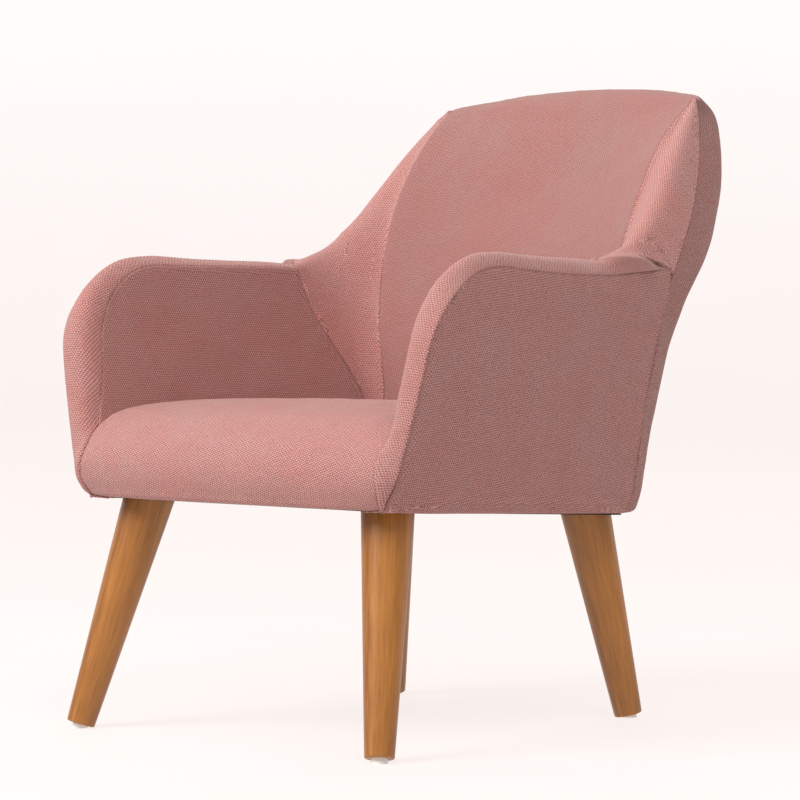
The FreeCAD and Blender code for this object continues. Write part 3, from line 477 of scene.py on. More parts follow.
# ---------------------------------------------------------------- sewn panels
def spaced(total):
    """Shares of a length for mesh lines: close together beside the seams, even between."""
    near = [0.0, 0.7, 1.6, 2.8, 4.4, 6.6]
    if total < 30.0:
        return np.linspace(0, 1, max(4, int(total / 1.5)))
    inner = np.linspace(near[-1], total - near[-1], max(3, int((total - 2 * near[-1]) / PITCH)))
    marks = np.concatenate((near[:-1], inner, [total - n for n in near[-2::-1]]))
    return marks / total


def ripple(x, size, seed):
    """Smooth noise between -1 and 1 along a line, with features of the given size."""
    rng = np.random.default_rng(seed)
    x = np.asarray(x) / size + 1000.0
    values = rng.uniform(-1, 1, 4096)
    i = np.floor(x).astype(int)
    t = x - i
    t = t * t * (3 - 2 * t)
    return values[i % 4096] * (1 - t) + values[(i + 1) % 4096] * t


def lumps(a, b, size, seed):
    """Smooth noise over a surface, from waves in many directions."""
    rng = np.random.default_rng(seed)
    total = np.zeros_like(a)
    count = 9
    for _ in range(count):
        turn, phase = rng.uniform(0, 2 * math.pi, 2)
        wave = size * rng.uniform(0.7, 1.6)
        total += np.sin((a * math.cos(turn) + b * math.sin(turn)) * 2 * math.pi / wave + phase)
    return total / math.sqrt(count)


class Panel:
    """A dense grid over a net, with distances to its four edges in design millimetres."""

    def __init__(self, net, outward):
        net = np.asarray(net)
        u_knots, v_knots = shares(net.transpose(1, 0, 2)), shares(net)
        middle = net[:, net.shape[1] // 2]
        width = max(length(row) for row in net)
        self.u = spaced(length(middle))
        self.v = spaced(width)
        self.skin = np.einsum("ai,bj,ijk->abk", weights(u_knots, self.u), weights(v_knots, self.v), net)
        self.flip = False
        self.settle()
        centre = self.normal[len(self.u) // 2, len(self.v) // 2]
        if float(centre @ np.asarray(outward, float)) < 0:
            self.flip = True
            self.normal = -self.normal

    def edge(self, k):
        """The points along edge u=0, u=1, v=0 or v=1."""
        return (self.skin[0], self.skin[-1], self.skin[:, 0], self.skin[:, -1])[k]

    def edge_distances(self):
        """Distance to the edges u=0, u=1, v=0, v=1."""
        return [self.a, self.a[-1] - self.a, self.b, self.b[:, -1:] - self.b]

    def snap(self, k, seam, reach=22.0, limit=16.0, below=1e9, whole=False):
        """Draws one edge onto a seam shared with a neighbour, easing the move into the panel.

        whole is set where the seam and the edge end at the same two corners."""
        edge = self.edge(k)
        apart = np.linalg.norm(edge[:, None] - seam[None], axis=2)
        nearest = apart.argmin(axis=1)
        shift = seam[nearest] - edge
        beside = (nearest > 0) & (nearest < len(seam) - 1)
        reached = (beside | whole) & (apart.min(axis=1) < limit)
        shift *= (reached * np.clip((below - edge[:, 2]) / 25.0, 0, 1))[:, None]
        fade = np.exp(-(self.edge_distances()[k] / reach) ** 2)[..., None]
        self.skin += fade * (shift[None] if k < 2 else shift[:, None])
        self.settle()

    def settle(self):
        """Outward normals of the surface as it now lies."""
        along, across = np.gradient(self.skin, axis=0), np.gradient(self.skin, axis=1)
        normal = np.cross(along, across)
        normal /= np.maximum(np.linalg.norm(normal, axis=2, keepdims=True), 1e-6)
        self.normal = -normal if self.flip else normal
        steps_u = np.linalg.norm(np.diff(self.skin, axis=0), axis=2)
        steps_v = np.linalg.norm(np.diff(self.skin, axis=1), axis=2)
        self.a = np.vstack((np.zeros(len(self.v)), np.cumsum(steps_u, axis=0)))
        self.b = np.hstack((np.zeros((len(self.u), 1)), np.cumsum(steps_v, axis=1)))


def dense(curve):
    """A closely sampled copy of a curve of points."""
    return np.array([rail(curve)(t) for t in np.linspace(0, 1, 600)])


def eased(net, passes):
    """The net resampled evenly and drawn smooth between its fixed borders, as cloth over foam."""
    net = np.asarray(net)
    u_knots, v_knots = shares(net.transpose(1, 0, 2)), shares(net)
    even = np.linspace(0, 1, 36)
    grid = np.einsum("ai,bj,ijk->abk", weights(u_knots, even), weights(v_knots, even), net)
    for _ in range(passes):
        around = grid[:-2, 1:-1] + grid[2:, 1:-1] + grid[1:-1, :-2] + grid[1:-1, 2:]
        grid[1:-1, 1:-1] = grid[1:-1, 1:-1] * 0.4 + around * 0.15
    return grid


def puffed(panel, seed, seams, crown):
    """The panel's surface with its padding, its seam beads and its small gathers.

    seams tells which of the edges u=0, u=1, v=0, v=1 are sewn."""
    rise = np.ones_like(panel.a)
    swell = np.ones_like(panel.a)
    gather = np.zeros_like(panel.a)
    for k, (sewn, distance) in enumerate(zip(seams, panel.edge_distances())):
        if not sewn:
            continue
        near = np.clip(distance / BEAD_REACH, 0, 1)
        rise *= np.sqrt(1 - (1 - near) ** 2)
        swell *= 1 - np.exp(-distance / CROWN_REACH)
        along = panel.b if k < 2 else panel.a
        waves = ripple(along, 9.0, seed * 7 + k) + 0.6 * ripple(along, 4.3, seed * 11 + k)
        gather += waves * np.exp(-distance / PUCKER_REACH) * np.clip(distance / 2.5, 0, 1)
    soft = lumps(panel.a, panel.b, 85.0, seed) * 0.45 + lumps(panel.a, panel.b, 34.0, seed + 50) * 0.12
    lift = BEAD * rise + crown * swell + PUCKER * gather + soft * swell
    return panel.skin + panel.normal * lift[..., None]


def rounded_foot(points):
    """Draws in the lower corners, where the covers turn under, and the places in DRAWN_DOWN."""
    low = np.clip(1 - (points[..., 2] - bottom_z(points[..., 1])) / CORNER_RISE, 0, 1) ** 2
    front = np.clip(1 - (points[..., 1] - FRONT_Y) / CORNER_FRONT, 0, 1)
    rear = np.clip((points[..., 1] - CORNER_REAR[0]) / CORNER_REAR[1], 0, 1)
    side = np.clip((np.abs(points[..., 0]) - CORNER_SIDE[0]) / CORNER_SIDE[1], 0, 1) ** 2
    inward = -np.sign(points[..., 0]) * low * side * (CORNER_DRAW * (front + 0.8 * rear) + 1.5)
    back = low * side * (0.5 * CORNER_DRAW * front - 0.4 * CORNER_DRAW * rear)
    points = points + np.stack((inward, back, np.zeros_like(low)), axis=-1)
    for place, direction, depth, reach in DRAWN_DOWN:
        for side in (1, -1):
            flip = np.array((side, 1, 1))
            apart = np.linalg.norm(points - place * flip, axis=-1)[..., None]
            points = points - unit(direction * flip) * depth * np.exp(-(apart / reach) ** 2)
    return points


def unit(v):
    return v / np.maximum(np.linalg.norm(v, axis=-1, keepdims=True), 1e-6)


def bordered(panel, points, seams, hem=None):
    """Adds the cloth beyond each edge: the allowance turned in at a seam, or the rolled hem."""
    a, b, normal = panel.a, panel.b, panel.normal
    for k, sewn in enumerate(seams):
        if not sewn and k != hem:
            continue
        side = np.s_[::1] if k in (0, 2) else np.s_[::-1]
        if k >= 2:
            points, normal = points.transpose(1, 0, 2), normal.transpose(1, 0, 2)
            a, b = a.T, b.T
        points, normal, a, b = points[side], normal[side], a[side], b[side]
        inward = unit(points[4] - points[0])
        offsets, moves = (4.0, 8.0), []
        if sewn:
            moves = [inward * 1.5 - normal[0] * 4.0, inward * 4.0 - normal[0] * 8.0]
        else:
            flat = unit(-normal[0] * (1, 1, 0))
            apart = np.linalg.norm(points - points[0], axis=2)
            points = points + inward * HEM_ROLL * np.exp(-(apart / 30.0) ** 2)[..., None]
            offsets = (2.0, 4.0, 6.0, 8.0, HEM * 0.5, HEM)
            down = -inward
            for turn in (22.0, 45.0, 68.0, 90.0):
                angle = math.radians(turn)
                moves.append(flat * HEM_ROLL * (1 - math.cos(angle)) + down * HEM_ROLL * math.sin(angle))
            moves += [moves[-1] + flat * HEM * 0.5, moves[-1] + flat * HEM]
        rows = [points[0] + m for m in moves]
        step = [np.sign(c[1] - c[0]) if abs((c[1] - c[0]).mean()) > 1e-6 else 0.0 for c in (a, b)]
        points = np.concatenate((np.array(rows[::-1]), points))
        normal = np.concatenate((np.array([normal[0]] * len(rows)), normal))
        a = np.concatenate((np.array([a[0] - step[0] * d for d in offsets[::-1]]), a))
        b = np.concatenate((np.array([b[0] - step[1] * d for d in offsets[::-1]]), b))
        points, normal, a, b = points[side], normal[side], a[side], b[side]
        if k >= 2:
            points, normal = points.transpose(1, 0, 2), normal.transpose(1, 0, 2)
            a, b = a.T, b.T
    return points, np.stack((a, b), axis=2) * MM


def add_object(name, data):
    obj = bpy.data.objects.new(name, data)
    bpy.context.scene.collection.objects.link(obj)
    return obj


def grid_mesh(name, points, uv, flip):
    """A mesh over a grid of points in design millimetres, with cloth coordinates in metres."""
    rows, columns = points.shape[:2]
    index = np.arange(rows * columns).reshape(rows, columns)
    corners = [index[:-1, :-1], index[1:, :-1], index[1:, 1:], index[:-1, 1:]]
    if flip:
        corners = corners[::-1]
    faces = np.stack([c.ravel() for c in corners], axis=1)
    mesh = bpy.data.meshes.new(name)
    mesh.from_pydata(frame_place(points).reshape(-1, 3).tolist(), [], faces.tolist())
    layer = mesh.uv_layers.new(name="cloth")
    cloth = np.asarray(uv, np.float32).reshape(-1, 2)
    loops = np.empty(len(mesh.loops), np.int32)
    mesh.loops.foreach_get("vertex_index", loops)
    layer.data.foreach_set("uv", cloth[loops].ravel())
    mesh.polygons.foreach_set("use_smooth", [True] * len(mesh.polygons))
    mesh.validate()
    mesh.update()
    return add_object(name, mesh)


def mirror_points(points):
    return points * np.array((-1, 1, 1))


def finish_cover(obj, material, nodes):
    """Gives a panel its thickness and material and binds it to the frame."""
    shell = obj.modifiers.new("shell", "SOLIDIFY")
    shell.thickness = SHELL * MM
    shell.offset = -1.0
    obj.data.materials.append(material)
    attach(obj, "root")
    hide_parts(*nodes)


def laid_flat(panel, points):
    """Cloth coordinates with straight threads: the middle plane's, drawn out to true lengths."""
    normal = panel.normal[len(panel.u) // 2, len(panel.v) // 2]
    across = unit(np.cross(normal, (0, 0, 1)))
    upward = np.cross(across, normal)
    flat = np.stack((points @ upward, points @ across), axis=2)
    picks = [np.unique(np.linspace(0, n - 1, FLAT_GRID).astype(int)) for n in flat.shape[:2]]
    solid, laid = points[np.ix_(*picks)], flat[np.ix_(*picks)]
    head, tail, whole = slice(None, -1), slice(1, None), slice(None)
    links = [((head, whole), (tail, whole)), ((whole, head), (whole, tail)),
             ((head, head), (tail, tail)), ((head, tail), (tail, head))]
    for _ in range(FLAT_PASSES):
        move = np.zeros_like(laid)
        for first, second in links:
            true = np.linalg.norm(solid[second] - solid[first], axis=2, keepdims=True)
            step = laid[second] - laid[first]
            now = np.maximum(np.linalg.norm(step, axis=2, keepdims=True), 1e-6)
            fix = step * (FLAT_STEP * (now - true) / now)
            move[first] += fix
            move[second] -= fix
        laid = laid + move
    places = [np.interp(np.arange(n), pick, np.arange(len(pick))) for n, pick in zip(flat.shape, picks)]
    low = [np.minimum(place.astype(int), len(pick) - 2) for place, pick in zip(places, picks)]
    s, t = (places[0] - low[0])[:, None, None], (places[1] - low[1])[None, :, None]
    corner = [laid[np.ix_(low[0] + a, low[1] + b)] for a in (0, 1) for b in (0, 1)]
    near, far = lerp(corner[0], corner[1], t), lerp(corner[2], corner[3], t)
    return lerp(near, far, s) * MM


def sewn_cloth(panel, padding, seams, hem):
    """Points and cloth coordinates of a panel, sewn on the edges marked in seams.

    padding is the seed of its gathers and the height of its crown."""
    seed, crown = padding
    points = rounded_foot(puffed(panel, seed, seams, crown))
    return bordered(panel, points, seams, hem)


def cover(name, panel, padding, seams, hem, material, nodes):
    """One panel of the upholstery across the middle of the chair."""
    points, uv = sewn_cloth(panel, padding, seams, hem)
    obj = grid_mesh(name, points, uv, panel.flip)
    finish_cover(obj, material, nodes)


def cover_pair(name, panel, padding, seams, hem, material, nodes):
    """The +X panel is the sitter's left; the right one is its mirror image.

    The boxing strip's threads follow its own curve; the other panels' are straight."""
    points, uv = sewn_cloth(panel, padding, seams, hem)
    if panel is not strip:
        uv = laid_flat(panel, points)
    left = grid_mesh("left_" + name, points, uv, panel.flip)
    right = grid_mesh("right_" + name, mirror_points(points), uv * (-1, 1), not panel.flip)
    for side, obj in (("left_", left), ("right_", right)):
        finish_cover(obj, material, [side + n for n in nodes])


# ---------------------------------------------------------------- materials
def new_material(name):
    material = bpy.data.materials.new(name)
    material.use_nodes = True
    return material, material.node_tree, material.node_tree.nodes["Principled BSDF"]


class Maker:
    """Short calls for building a node tree."""

    def __init__(self, tree):
        self.tree = tree

    def node(self, kind, **values):
        made = self.tree.nodes.new(kind)
        for key, value in values.items():
            setattr(made, key, value)
        return made

    def link(self, source, target):
        self.tree.links.new(source, target)

    def math(self, operation, a, b=None, c=None, clamped=False):
        made = self.node("ShaderNodeMath", operation=operation, use_clamp=clamped)
        for socket, value in zip(made.inputs, (a, b, c)):
            if value is None:
                continue
            if isinstance(value, (int, float)):
                socket.default_value = value
            else:
                self.link(value, socket)
        return made.outputs[0]

    def noise(self, vector, scale, detail=2.0, roughness=0.5):
        made = self.node("ShaderNodeTexNoise")
        made.inputs["Scale"].default_value = scale
        made.inputs["Detail"].default_value = detail
        made.inputs["Roughness"].default_value = roughness
        self.link(vector, made.inputs["Vector"])
        return made.outputs["Fac"]

    def ramp(self, factor, stops):
        made = self.node("ShaderNodeValToRGB")
        ramp = made.color_ramp
        while len(ramp.elements) < len(stops):
            ramp.elements.new(0.5)
        for element, (place, colour) in zip(ramp.elements, stops):
            element.position = place
            element.color = (*colour, 1.0)
        self.link(factor, made.inputs[0])
        return made.outputs[0]

    def mix(self, factor, a, b):
        made = self.node("ShaderNodeMix", data_type="RGBA")
        for socket, value in zip((made.inputs[0], made.inputs[6], made.inputs[7]), (factor, a, b)):
            if isinstance(value, (int, float)):
                socket.default_value = value
            elif isinstance(value, tuple):
                socket.default_value = (*value, 1.0)
            else:
                self.link(value, socket)
        return made.outputs[2]


ROSE = (0.575, 0.312, 0.288)         # lit yarn
# ROSE_GAP_SHADE is painted shade: the dark colour between the yarns stands in for the shade that falls in
# the gaps of the weave.
ROSE_GAP_SHADE = (0.215, 0.086, 0.077)    # between the yarns
YARN = 0.0028                       # pitch of the ribs
RIB_DEPTH = 0.0010
RIB_WANDER = 0.0035                 # how far the ribs stray from straight, slowly
RIB_JITTER = 0.0016                 # and from yarn to yarn


def fabric(name, angle, rib_strength=1.0, painted_light_scale=1.0, cross=0.55, depth=1.0):
    """Chenille-like rib weave; the ribs run at an angle to the panel's own u direction."""
    material, tree, shader = new_material(name)
    m = Maker(tree)
    uv = m.node("ShaderNodeUVMap", uv_map="cloth").outputs[0]
    mapping = m.node("ShaderNodeMapping", vector_type="TEXTURE")
    mapping.inputs["Rotation"].default_value = (0, 0, math.radians(angle))
    m.link(uv, mapping.inputs["Vector"])
    wander = m.noise(uv, 60.0, 2.0)
    split = m.node("ShaderNodeSeparateXYZ")
    m.link(mapping.outputs[0], split.inputs[0])
    jitter = m.noise(uv, 420.0, 2.0)
    shift = m.math("MULTIPLY", m.math("SUBTRACT", wander, 0.5), RIB_WANDER)
    shift = m.math("ADD", shift, m.math("MULTIPLY", m.math("SUBTRACT", jitter, 0.5), RIB_JITTER))
    across = m.math("ADD", split.outputs[1], shift)
    along = m.math("ADD", split.outputs[0], shift)
    turns = 2 * math.pi / YARN
    rib = m.math("SINE", m.math("MULTIPLY", across, turns))
    rib = m.math("MULTIPLY_ADD", rib, 0.5, 0.5)
    # every second rib is shifted by half a stitch, as in a plain weave
    row = m.math("FLOOR", m.math("DIVIDE", across, YARN))
    half = m.math("MULTIPLY", row, math.pi)
    stitch = m.math("SINE", m.math("ADD", m.math("MULTIPLY", along, turns * 0.8), half))
    stitch = m.math("MULTIPLY_ADD", stitch, 0.5, 0.5)
    weave = m.math("ADD", m.math("MULTIPLY", rib, 1.0 - cross), m.math("MULTIPLY", stitch, cross))
    fuzz = m.noise(uv, 900.0, 3.0, 0.7)
    weave = m.math("ADD", m.math("MULTIPLY", weave, 0.8), m.math("MULTIPLY", fuzz, 0.3))
    patches = m.noise(uv, 9.0, 3.0, 0.55)
    brushed = m.noise(uv, 34.0, 2.0, 0.5)
    mottling = m.math("ADD", m.math("MULTIPLY", patches, 0.7), m.math("MULTIPLY", brushed, 0.3))
    # painted_light_scale is painted light and shade: above 1 it lightens a panel's fabric, below 1 it
    # darkens it. depth below 1 deepens the colour of shaded panels as painted shade.
    light = (ROSE[0] * painted_light_scale, ROSE[1] * painted_light_scale * depth, ROSE[2] * painted_light_scale * depth)
    gap_shade = (ROSE_GAP_SHADE[0] * painted_light_scale, ROSE_GAP_SHADE[1] * painted_light_scale * depth, ROSE_GAP_SHADE[2] * painted_light_scale * depth)
    warm = (light[0] * 1.03, light[1] * 0.84, light[2] * 0.80)
    yarn = m.mix(m.math("MULTIPLY", m.math("SUBTRACT", mottling, 0.36), 3.2, clamped=True), light, warm)
    # Painted shade between the yarns: the base colour is drawn towards the gap shade where the weave is low;
    # rib_strength sets the contrast of this painted shade as well as the bump.
    gap_shade_mix = m.math("MULTIPLY_ADD", m.math("SUBTRACT", 0.55, weave), 2.6 * rib_strength, 0.45, clamped=True)
    colour = m.mix(gap_shade_mix, yarn, gap_shade)
    m.link(colour, shader.inputs["Base Color"])
    bump = m.node("ShaderNodeBump")
    bump.inputs["Strength"].default_value = 0.8 * rib_strength
    bump.inputs["Distance"].default_value = RIB_DEPTH
    m.link(weave, bump.inputs["Height"])
    soft = m.node("ShaderNodeBump")
    soft.inputs["Strength"].default_value = 0.25
    soft.inputs["Distance"].default_value = 0.004
    m.link(brushed, soft.inputs["Height"])
    m.link(soft.outputs[0], bump.inputs["Normal"])
    m.link(bump.outputs[0], shader.inputs["Normal"])
    shader.inputs["Roughness"].default_value = 0.92
    shader.inputs["Specular IOR Level"].default_value = 0.18
    shader.inputs["Sheen Weight"].default_value = 0.35
    shader.inputs["Sheen Roughness"].default_value = 0.45
    shader.inputs["Sheen Tint"].default_value = (1.0, 0.86, 0.82, 1.0)
    return material


def wood(name, light, dark, streaks=1.0, roughness=0.38, coat=0.25, scale=1.0):
    """Straight-grained wood; the grain runs along the object's own Z."""
    material, tree, shader = new_material(name)
    m = Maker(tree)
    place = m.node("ShaderNodeTexCoord").outputs["Object"]
    stretch = m.node("ShaderNodeMapping")
    stretch.inputs["Scale"].default_value = (scale, scale, scale * 0.045)
    m.link(place, stretch.inputs["Vector"])
    bands = m.noise(stretch.outputs[0], 55.0, 4.0, 0.6)
    fine = m.noise(stretch.outputs[0], 420.0, 4.0, 0.7)
    broad = m.noise(place, 5.0, 2.0)
    grain = m.math("ADD", m.math("MULTIPLY", bands, 0.62 * streaks), m.math("MULTIPLY", fine, 0.38))
    grain = m.math("ADD", grain, m.math("MULTIPLY", m.math("SUBTRACT", broad, 0.5), 0.25))
    middle = tuple(lerp(a, b, 0.45) for a, b in zip(light, dark))
    colour = m.ramp(grain, [(0.28, dark), (0.47, middle), (0.66, light)])
    m.link(colour, shader.inputs["Base Color"])
    rough = m.math("MULTIPLY_ADD", fine, 0.18, roughness - 0.09)
    m.link(rough, shader.inputs["Roughness"])
    bump = m.node("ShaderNodeBump")
    bump.inputs["Strength"].default_value = 0.18
    bump.inputs["Distance"].default_value = 0.0006
    m.link(grain, bump.inputs["Height"])
    m.link(bump.outputs[0], shader.inputs["Normal"])
    shader.inputs["Coat Weight"].default_value = coat
    shader.inputs["Coat Roughness"].default_value = 0.28
    return material


def speckled(name, light, dark, scale, roughness, metallic=0.0):
    """A material with fine variation: metal, plastic or felted cloth."""
    material, tree, shader = new_material(name)
    m = Maker(tree)
    place = m.node("ShaderNodeTexCoord").outputs["Object"]
    grain = m.noise(place, scale, 4.0, 0.65)
    broad = m.noise(place, scale * 0.06, 2.0)
    both = m.math("ADD", m.math("MULTIPLY", grain, 0.6), m.math("MULTIPLY", broad, 0.4))
    m.link(m.ramp(both, [(0.35, dark), (0.65, light)]), shader.inputs["Base Color"])
    rough = m.math("MULTIPLY_ADD", grain, 0.2, roughness - 0.1)
    m.link(rough, shader.inputs["Roughness"])
    bump = m.node("ShaderNodeBump")
    bump.inputs["Strength"].default_value = 0.4
    bump.inputs["Distance"].default_value = 0.0003
    m.link(grain, bump.inputs["Height"])
    m.link(bump.outputs[0], shader.inputs["Normal"])
    shader.inputs["Metallic"].default_value = metallic
    return material


# Lit and shaded copies of one fabric: painted_light_scale, depth and rib_strength paint light and shade per
# panel. The inside back, inside arms and outside back are darker, the outside arms and outside back deeper
# with stronger painted gap shade, and the wings lighter.
SEAT_FABRIC = fabric("seat_fabric", 24.0, rib_strength=0.95, cross=0.5)
BACK_FABRIC = fabric("back_fabric", 12.0, rib_strength=0.5, painted_light_scale=0.80, cross=0.5)
ARM_FABRIC = fabric("arm_fabric", 38.0, rib_strength=1.9, depth=0.93)
INSIDE_ARM_FABRIC = fabric("inside_arm_fabric", -35.0, rib_strength=0.8, painted_light_scale=0.93)
BOXING_FABRIC = fabric("boxing_fabric", 90.0, rib_strength=0.9)
WING_FABRIC = fabric("wing_fabric", 42.0, rib_strength=0.65, painted_light_scale=1.08)
OUTSIDE_BACK_FABRIC = fabric("outside_back_fabric", 20.0, rib_strength=2.0, painted_light_scale=0.92, depth=0.93)
LEG_WOOD = wood("leg_wood", (0.46, 0.18, 0.030), (0.13, 0.035, 0.004), 1.0, 0.42, 0.12)
FRAME_WOOD = wood("frame_wood", (0.62, 0.45, 0.28), (0.36, 0.22, 0.11), 0.8, 0.7, 0.0)
PLYWOOD = wood("plywood", (0.66, 0.49, 0.31), (0.42, 0.28, 0.15), 0.6, 0.7, 0.0, 0.6)
DUST_CLOTH = speckled("dust_cloth", (0.030, 0.030, 0.032), (0.012, 0.012, 0.013), 900.0, 0.95)
WEBBING = speckled("webbing", (0.42, 0.33, 0.22), (0.24, 0.18, 0.11), 700.0, 0.9)
GLIDE_PLASTIC = speckled("glide_plastic", (0.90, 0.88, 0.85), (0.80, 0.78, 0.75), 500.0, 0.45)
SPRING_STEEL = speckled("spring_steel", (0.30, 0.30, 0.31), (0.16, 0.16, 0.17), 600.0, 0.4, 1.0)
ZINC = speckled("zinc_plate", (0.62, 0.60, 0.54), (0.42, 0.40, 0.36), 400.0, 0.38, 1.0)


# ---------------------------------------------------------------- panels
out_arm = Panel(arm_net(False), (1, 0, 0))
in_arm = Panel(arm_net(True), (-1, 0, 0))
strip = Panel(strip_net(), (0, -1, 1))
wing = Panel(eased(wing_net(), 130), (-1, -1, 0))
back = Panel(back_net(), (0, -1, 0))
out_back = Panel(outside_back_net(), (0, 1, 0))
seat = Panel(seat_net(), (0, 0, 1))

raised_seam = dense([point(inner_x(p[1], p[2]), p[1], p[2]) for p in map(RAISED_SEAM, np.linspace(0, 1, 9))])
centre_seam = dense(CENTRE_SEAM)
wing.snap(0, raised_seam)
in_arm.snap(1, raised_seam)
wing.snap(3, centre_seam)
back.snap(1, centre_seam)
back.snap(0, mirror_points(centre_seam))
strip.snap(2, out_arm.skin[:, -1])
strip.snap(2, out_arm.skin[0], limit=8.0)
wing.snap(2, out_back.skin[-1])
back.snap(3, out_back.skin[:, -1], reach=10.0, whole=True)
strip.snap(3, in_arm.skin[:, -1], reach=12.0, limit=8.0)
strip.snap(3, wing.skin[:, 0], reach=12.0, limit=8.0)
strip.snap(3, seat.skin[-1], reach=16.0, limit=40.0, below=SEAT_Z + 8.0)

cover_pair("outside_arm", out_arm, (3, CROWN), (1, 1, 0, 1), 2, ARM_FABRIC,
           ["outside_arm_cover", "outside_arm_wadding"])
cover_pair("inside_arm", in_arm, (5, CROWN), (1, 1, 0, 1), None, INSIDE_ARM_FABRIC,
           ["inside_arm_cover", "inside_arm_foam"])
cover_pair("arm_boxing", strip, (7, 1.0), (0, 0, 1, 1), None, BOXING_FABRIC,
           ["arm_boxing_cover", "arm_top_foam"])
cover_pair("inside_wing", wing, (9, 7.0), (1, 0, 1, 1), None, WING_FABRIC,
           ["inside_wing_cover", "wing_foam"])
cover("inside_back", back, (11, 2.5), (1, 1, 0, 1), None, BACK_FABRIC,
      ["inside_back_cover", "inside_back_foam", "back_top_foam"])
cover("outside_back", out_back, (13, CROWN), (1, 1, 0, 1), 2, OUTSIDE_BACK_FABRIC,
      ["outside_back_cover", "outside_back_wadding"])
cover("seat", seat, (15, 1.0), (1, 1, 0, 0), 2, SEAT_FABRIC,
      ["seat_cover", "seat_foam", "seat_front_foam"])


# ---------------------------------------------------------------- legs
def leg(name, foot, splay, nodes):
    """Turned leg about its own Z axis, with the foot end squared and its edge rounded."""
    axis = splay.normalized()
    tilt = math.sqrt(1 - axis.z ** 2)
    rise = (LEG_FOOT_RADIUS - LEG_EDGE) * tilt + LEG_EDGE * (1 - axis.z)
    start = Vector((foot.x, foot.y, rise))
    top_z = bottom_z(foot.y + splay.y * BODY_BOTTOM_Z) + LEG_SINK
    run = (splay * (top_z - rise)).length
    profile = [(0.0, 0.0)]
    for i in range(7):
        turn = math.pi / 2 * i / 6
        profile.append((LEG_FOOT_RADIUS - LEG_EDGE * (1 - math.sin(turn)), LEG_EDGE * (1 - math.cos(turn))))
    for i in range(1, 25):
        z = lerp(LEG_EDGE, run - 1.0, i / 24)
        profile.append((lerp(LEG_FOOT_RADIUS, LEG_TOP_RADIUS, z / run), z))
    profile += [(LEG_TOP_RADIUS - 1.0, run), (0.0, run)]
    sides = 72
    verts, faces = [], []
    for radius, z in profile[1:-1]:
        for k in range(sides):
            turn = 2 * math.pi * k / sides
            verts.append((radius * math.cos(turn) * MM, radius * math.sin(turn) * MM, z * MM))
    rings = len(profile) - 2
    for r in range(rings - 1):
        for k in range(sides):
            a, b = r * sides + k, r * sides + (k + 1) % sides
            faces.append((a, b, b + sides, a + sides))
    faces.append(tuple(range(sides))[::-1])
    faces.append(tuple((rings - 1) * sides + k for k in range(sides)))
    mesh = bpy.data.meshes.new(name)
    mesh.from_pydata(verts, [], faces)
    mesh.polygons.foreach_set("use_smooth", [len(f) == 4 for f in faces])
    mesh.update()
    obj = add_object(name, mesh)
    turn = Vector((0, 0, 1)).rotation_difference(axis).to_matrix().to_4x4()
    place = frame_place([start])[0]
    obj.matrix_world = Matrix.Translation(Vector(place)) @ turn
    mesh.materials.append(LEG_WOOD)
    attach(obj, "root")
    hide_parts(*nodes)


for place, (foot, splay) in LEGS.items():
    for side, sign in (("left", 1), ("right", -1)):
        turned = Vector((foot.x * sign, foot.y, foot.z)), Vector((splay.x * sign, splay.y, splay.z))
        leg(f"{side}_{place}_turned_leg", *turned, [f"{side}_{place}_leg"])


# ---------------------------------------------------------------- frame nodes that stay
def finish_of(node):
    if "glide" in node:
        return GLIDE_PLASTIC
    if "side_frame" in node or "wing_board" in node:
        return PLYWOOD
    if node == "dust_cover":
        return DUST_CLOTH
    if node == "back_webbing":
        return WEBBING
    if node == "seat_springs":
        return SPRING_STEEL
    if node in ("spring_clips", "frame_screws", "leg_hanger_bolts", "leg_inserts"):
        return ZINC
    return FRAME_WOOD


for node, obj in frame["nodes"].items():
    if not obj.hide_render:
        obj.data.materials.clear()
        obj.data.materials.append(finish_of(node))


# ---------------------------------------------------------------- floor, light and camera
def area_light(name, place, target, size, power, colour):
    light = bpy.data.lights.new(name, "AREA")
    light.energy, light.size, light.color = power, size, colour
    obj = add_object(name, light)
    obj.location = place
    obj.rotation_euler = (Vector(target) - Vector(place)).to_track_quat("-Z", "Y").to_euler()


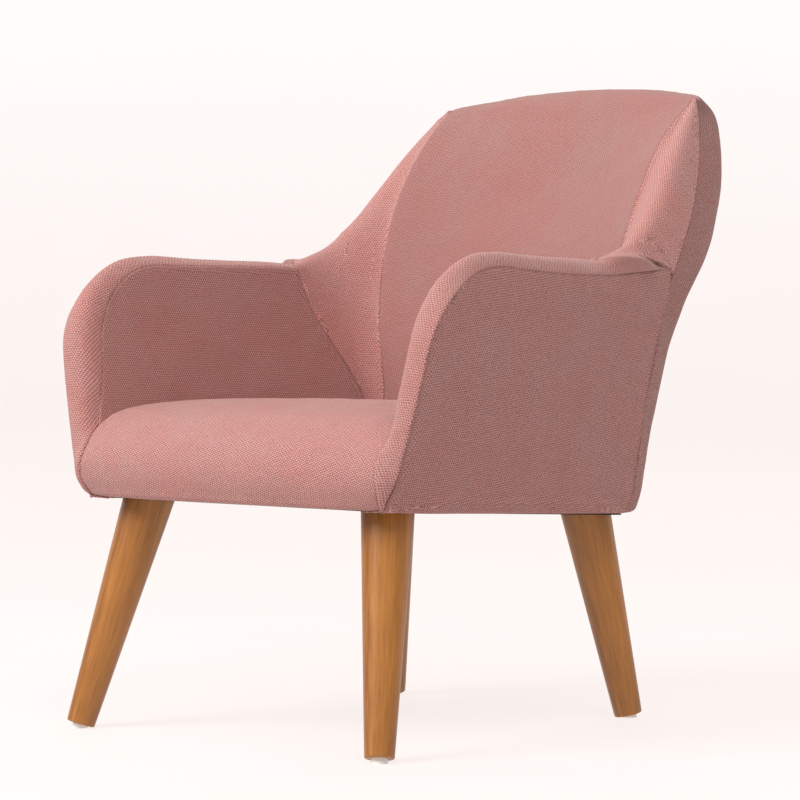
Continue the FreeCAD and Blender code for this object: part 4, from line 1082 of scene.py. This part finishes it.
def backdrop():
    """A floor that curves up into a wall far behind, as one plain pale sheet."""
    front, bend, radius, top, half = -9.0, 6.0, 3.0, 12.0, 20.0
    profile = [(front, 0.0), (bend, 0.0)]
    for i in range(1, 13):
        turn = math.pi / 2 * i / 12
        profile.append((bend + radius * math.sin(turn), radius - radius * math.cos(turn)))
    profile.append((bend + radius, top))
    verts, faces = [], []
    for y, z in profile:
        verts += [(-half, y, z), (half, y, z)]
    for i in range(len(profile) - 1):
        faces.append((2 * i, 2 * i + 1, 2 * i + 3, 2 * i + 2))
    mesh = bpy.data.meshes.new("floor")
    mesh.from_pydata(verts, [], faces)
    mesh.polygons.foreach_set("use_smooth", [True] * len(faces))
    obj = add_object("floor", mesh)
    obj.rotation_euler = (0, 0, math.radians(41))
    material, tree, shader = new_material("pale_floor")
    m = Maker(tree)
    grain = m.noise(m.node("ShaderNodeTexCoord").outputs["Object"], 3.0, 3.0)
    paint = m.ramp(grain, [(0.3, (0.12, 0.113, 0.11)), (0.7, (0.13, 0.122, 0.12))])
    m.link(paint, shader.inputs["Base Color"])
    height = m.node("ShaderNodeSeparateXYZ")
    m.link(m.node("ShaderNodeTexCoord").outputs["Object"], height.inputs[0])
    rise = m.math("MULTIPLY", height.outputs[2], 0.5, clamped=True)
    glow = m.ramp(rise, [(0.0, (0.85, 0.785, 0.765)), (1.0, (0.95, 0.915, 0.905))])
    m.link(glow, shader.inputs["Emission Color"])
    shader.inputs["Emission Strength"].default_value = 1.0
    shader.inputs["Roughness"].default_value = 0.8
    shader.inputs["Specular IOR Level"].default_value = 0.2
    mesh.materials.append(material)


backdrop()
world = bpy.data.worlds.new("studio")
bpy.context.scene.world = world
world.use_nodes = True
world.node_tree.nodes["Background"].inputs["Color"].default_value = (1.0, 0.985, 0.98, 1.0)
world.node_tree.nodes["Background"].inputs["Strength"].default_value = 0.36
area_light("key", (-1.4, -3.9, 3.9), (0, 0, 0.4), 2.6, 280.0, (1.0, 0.985, 0.97))
area_light("fill", (2.5, -1.5, 4.5), (0, 0, 0.4), 3.0, 115.0, (1.0, 0.985, 0.975))
bpy.context.scene.view_settings.view_transform = "Standard"

AZIMUTH = math.radians(41.57)
DISTANCE = 4.272
HEIGHT = 0.534
LOOK_DOWN = math.radians(1.69)
LOOK_ASIDE = 0.00825
camera = bpy.data.cameras.new("camera")
camera.sensor_width = 36.0
camera.lens = 153.0
eye = add_object("camera", camera)
eye.location = (math.sin(AZIMUTH) * DISTANCE, MIDDLE_Y - math.cos(AZIMUTH) * DISTANCE, HEIGHT)
eye.rotation_euler = (math.radians(90) - LOOK_DOWN, 0, AZIMUTH - LOOK_ASIDE)
bpy.context.scene.camera = eye
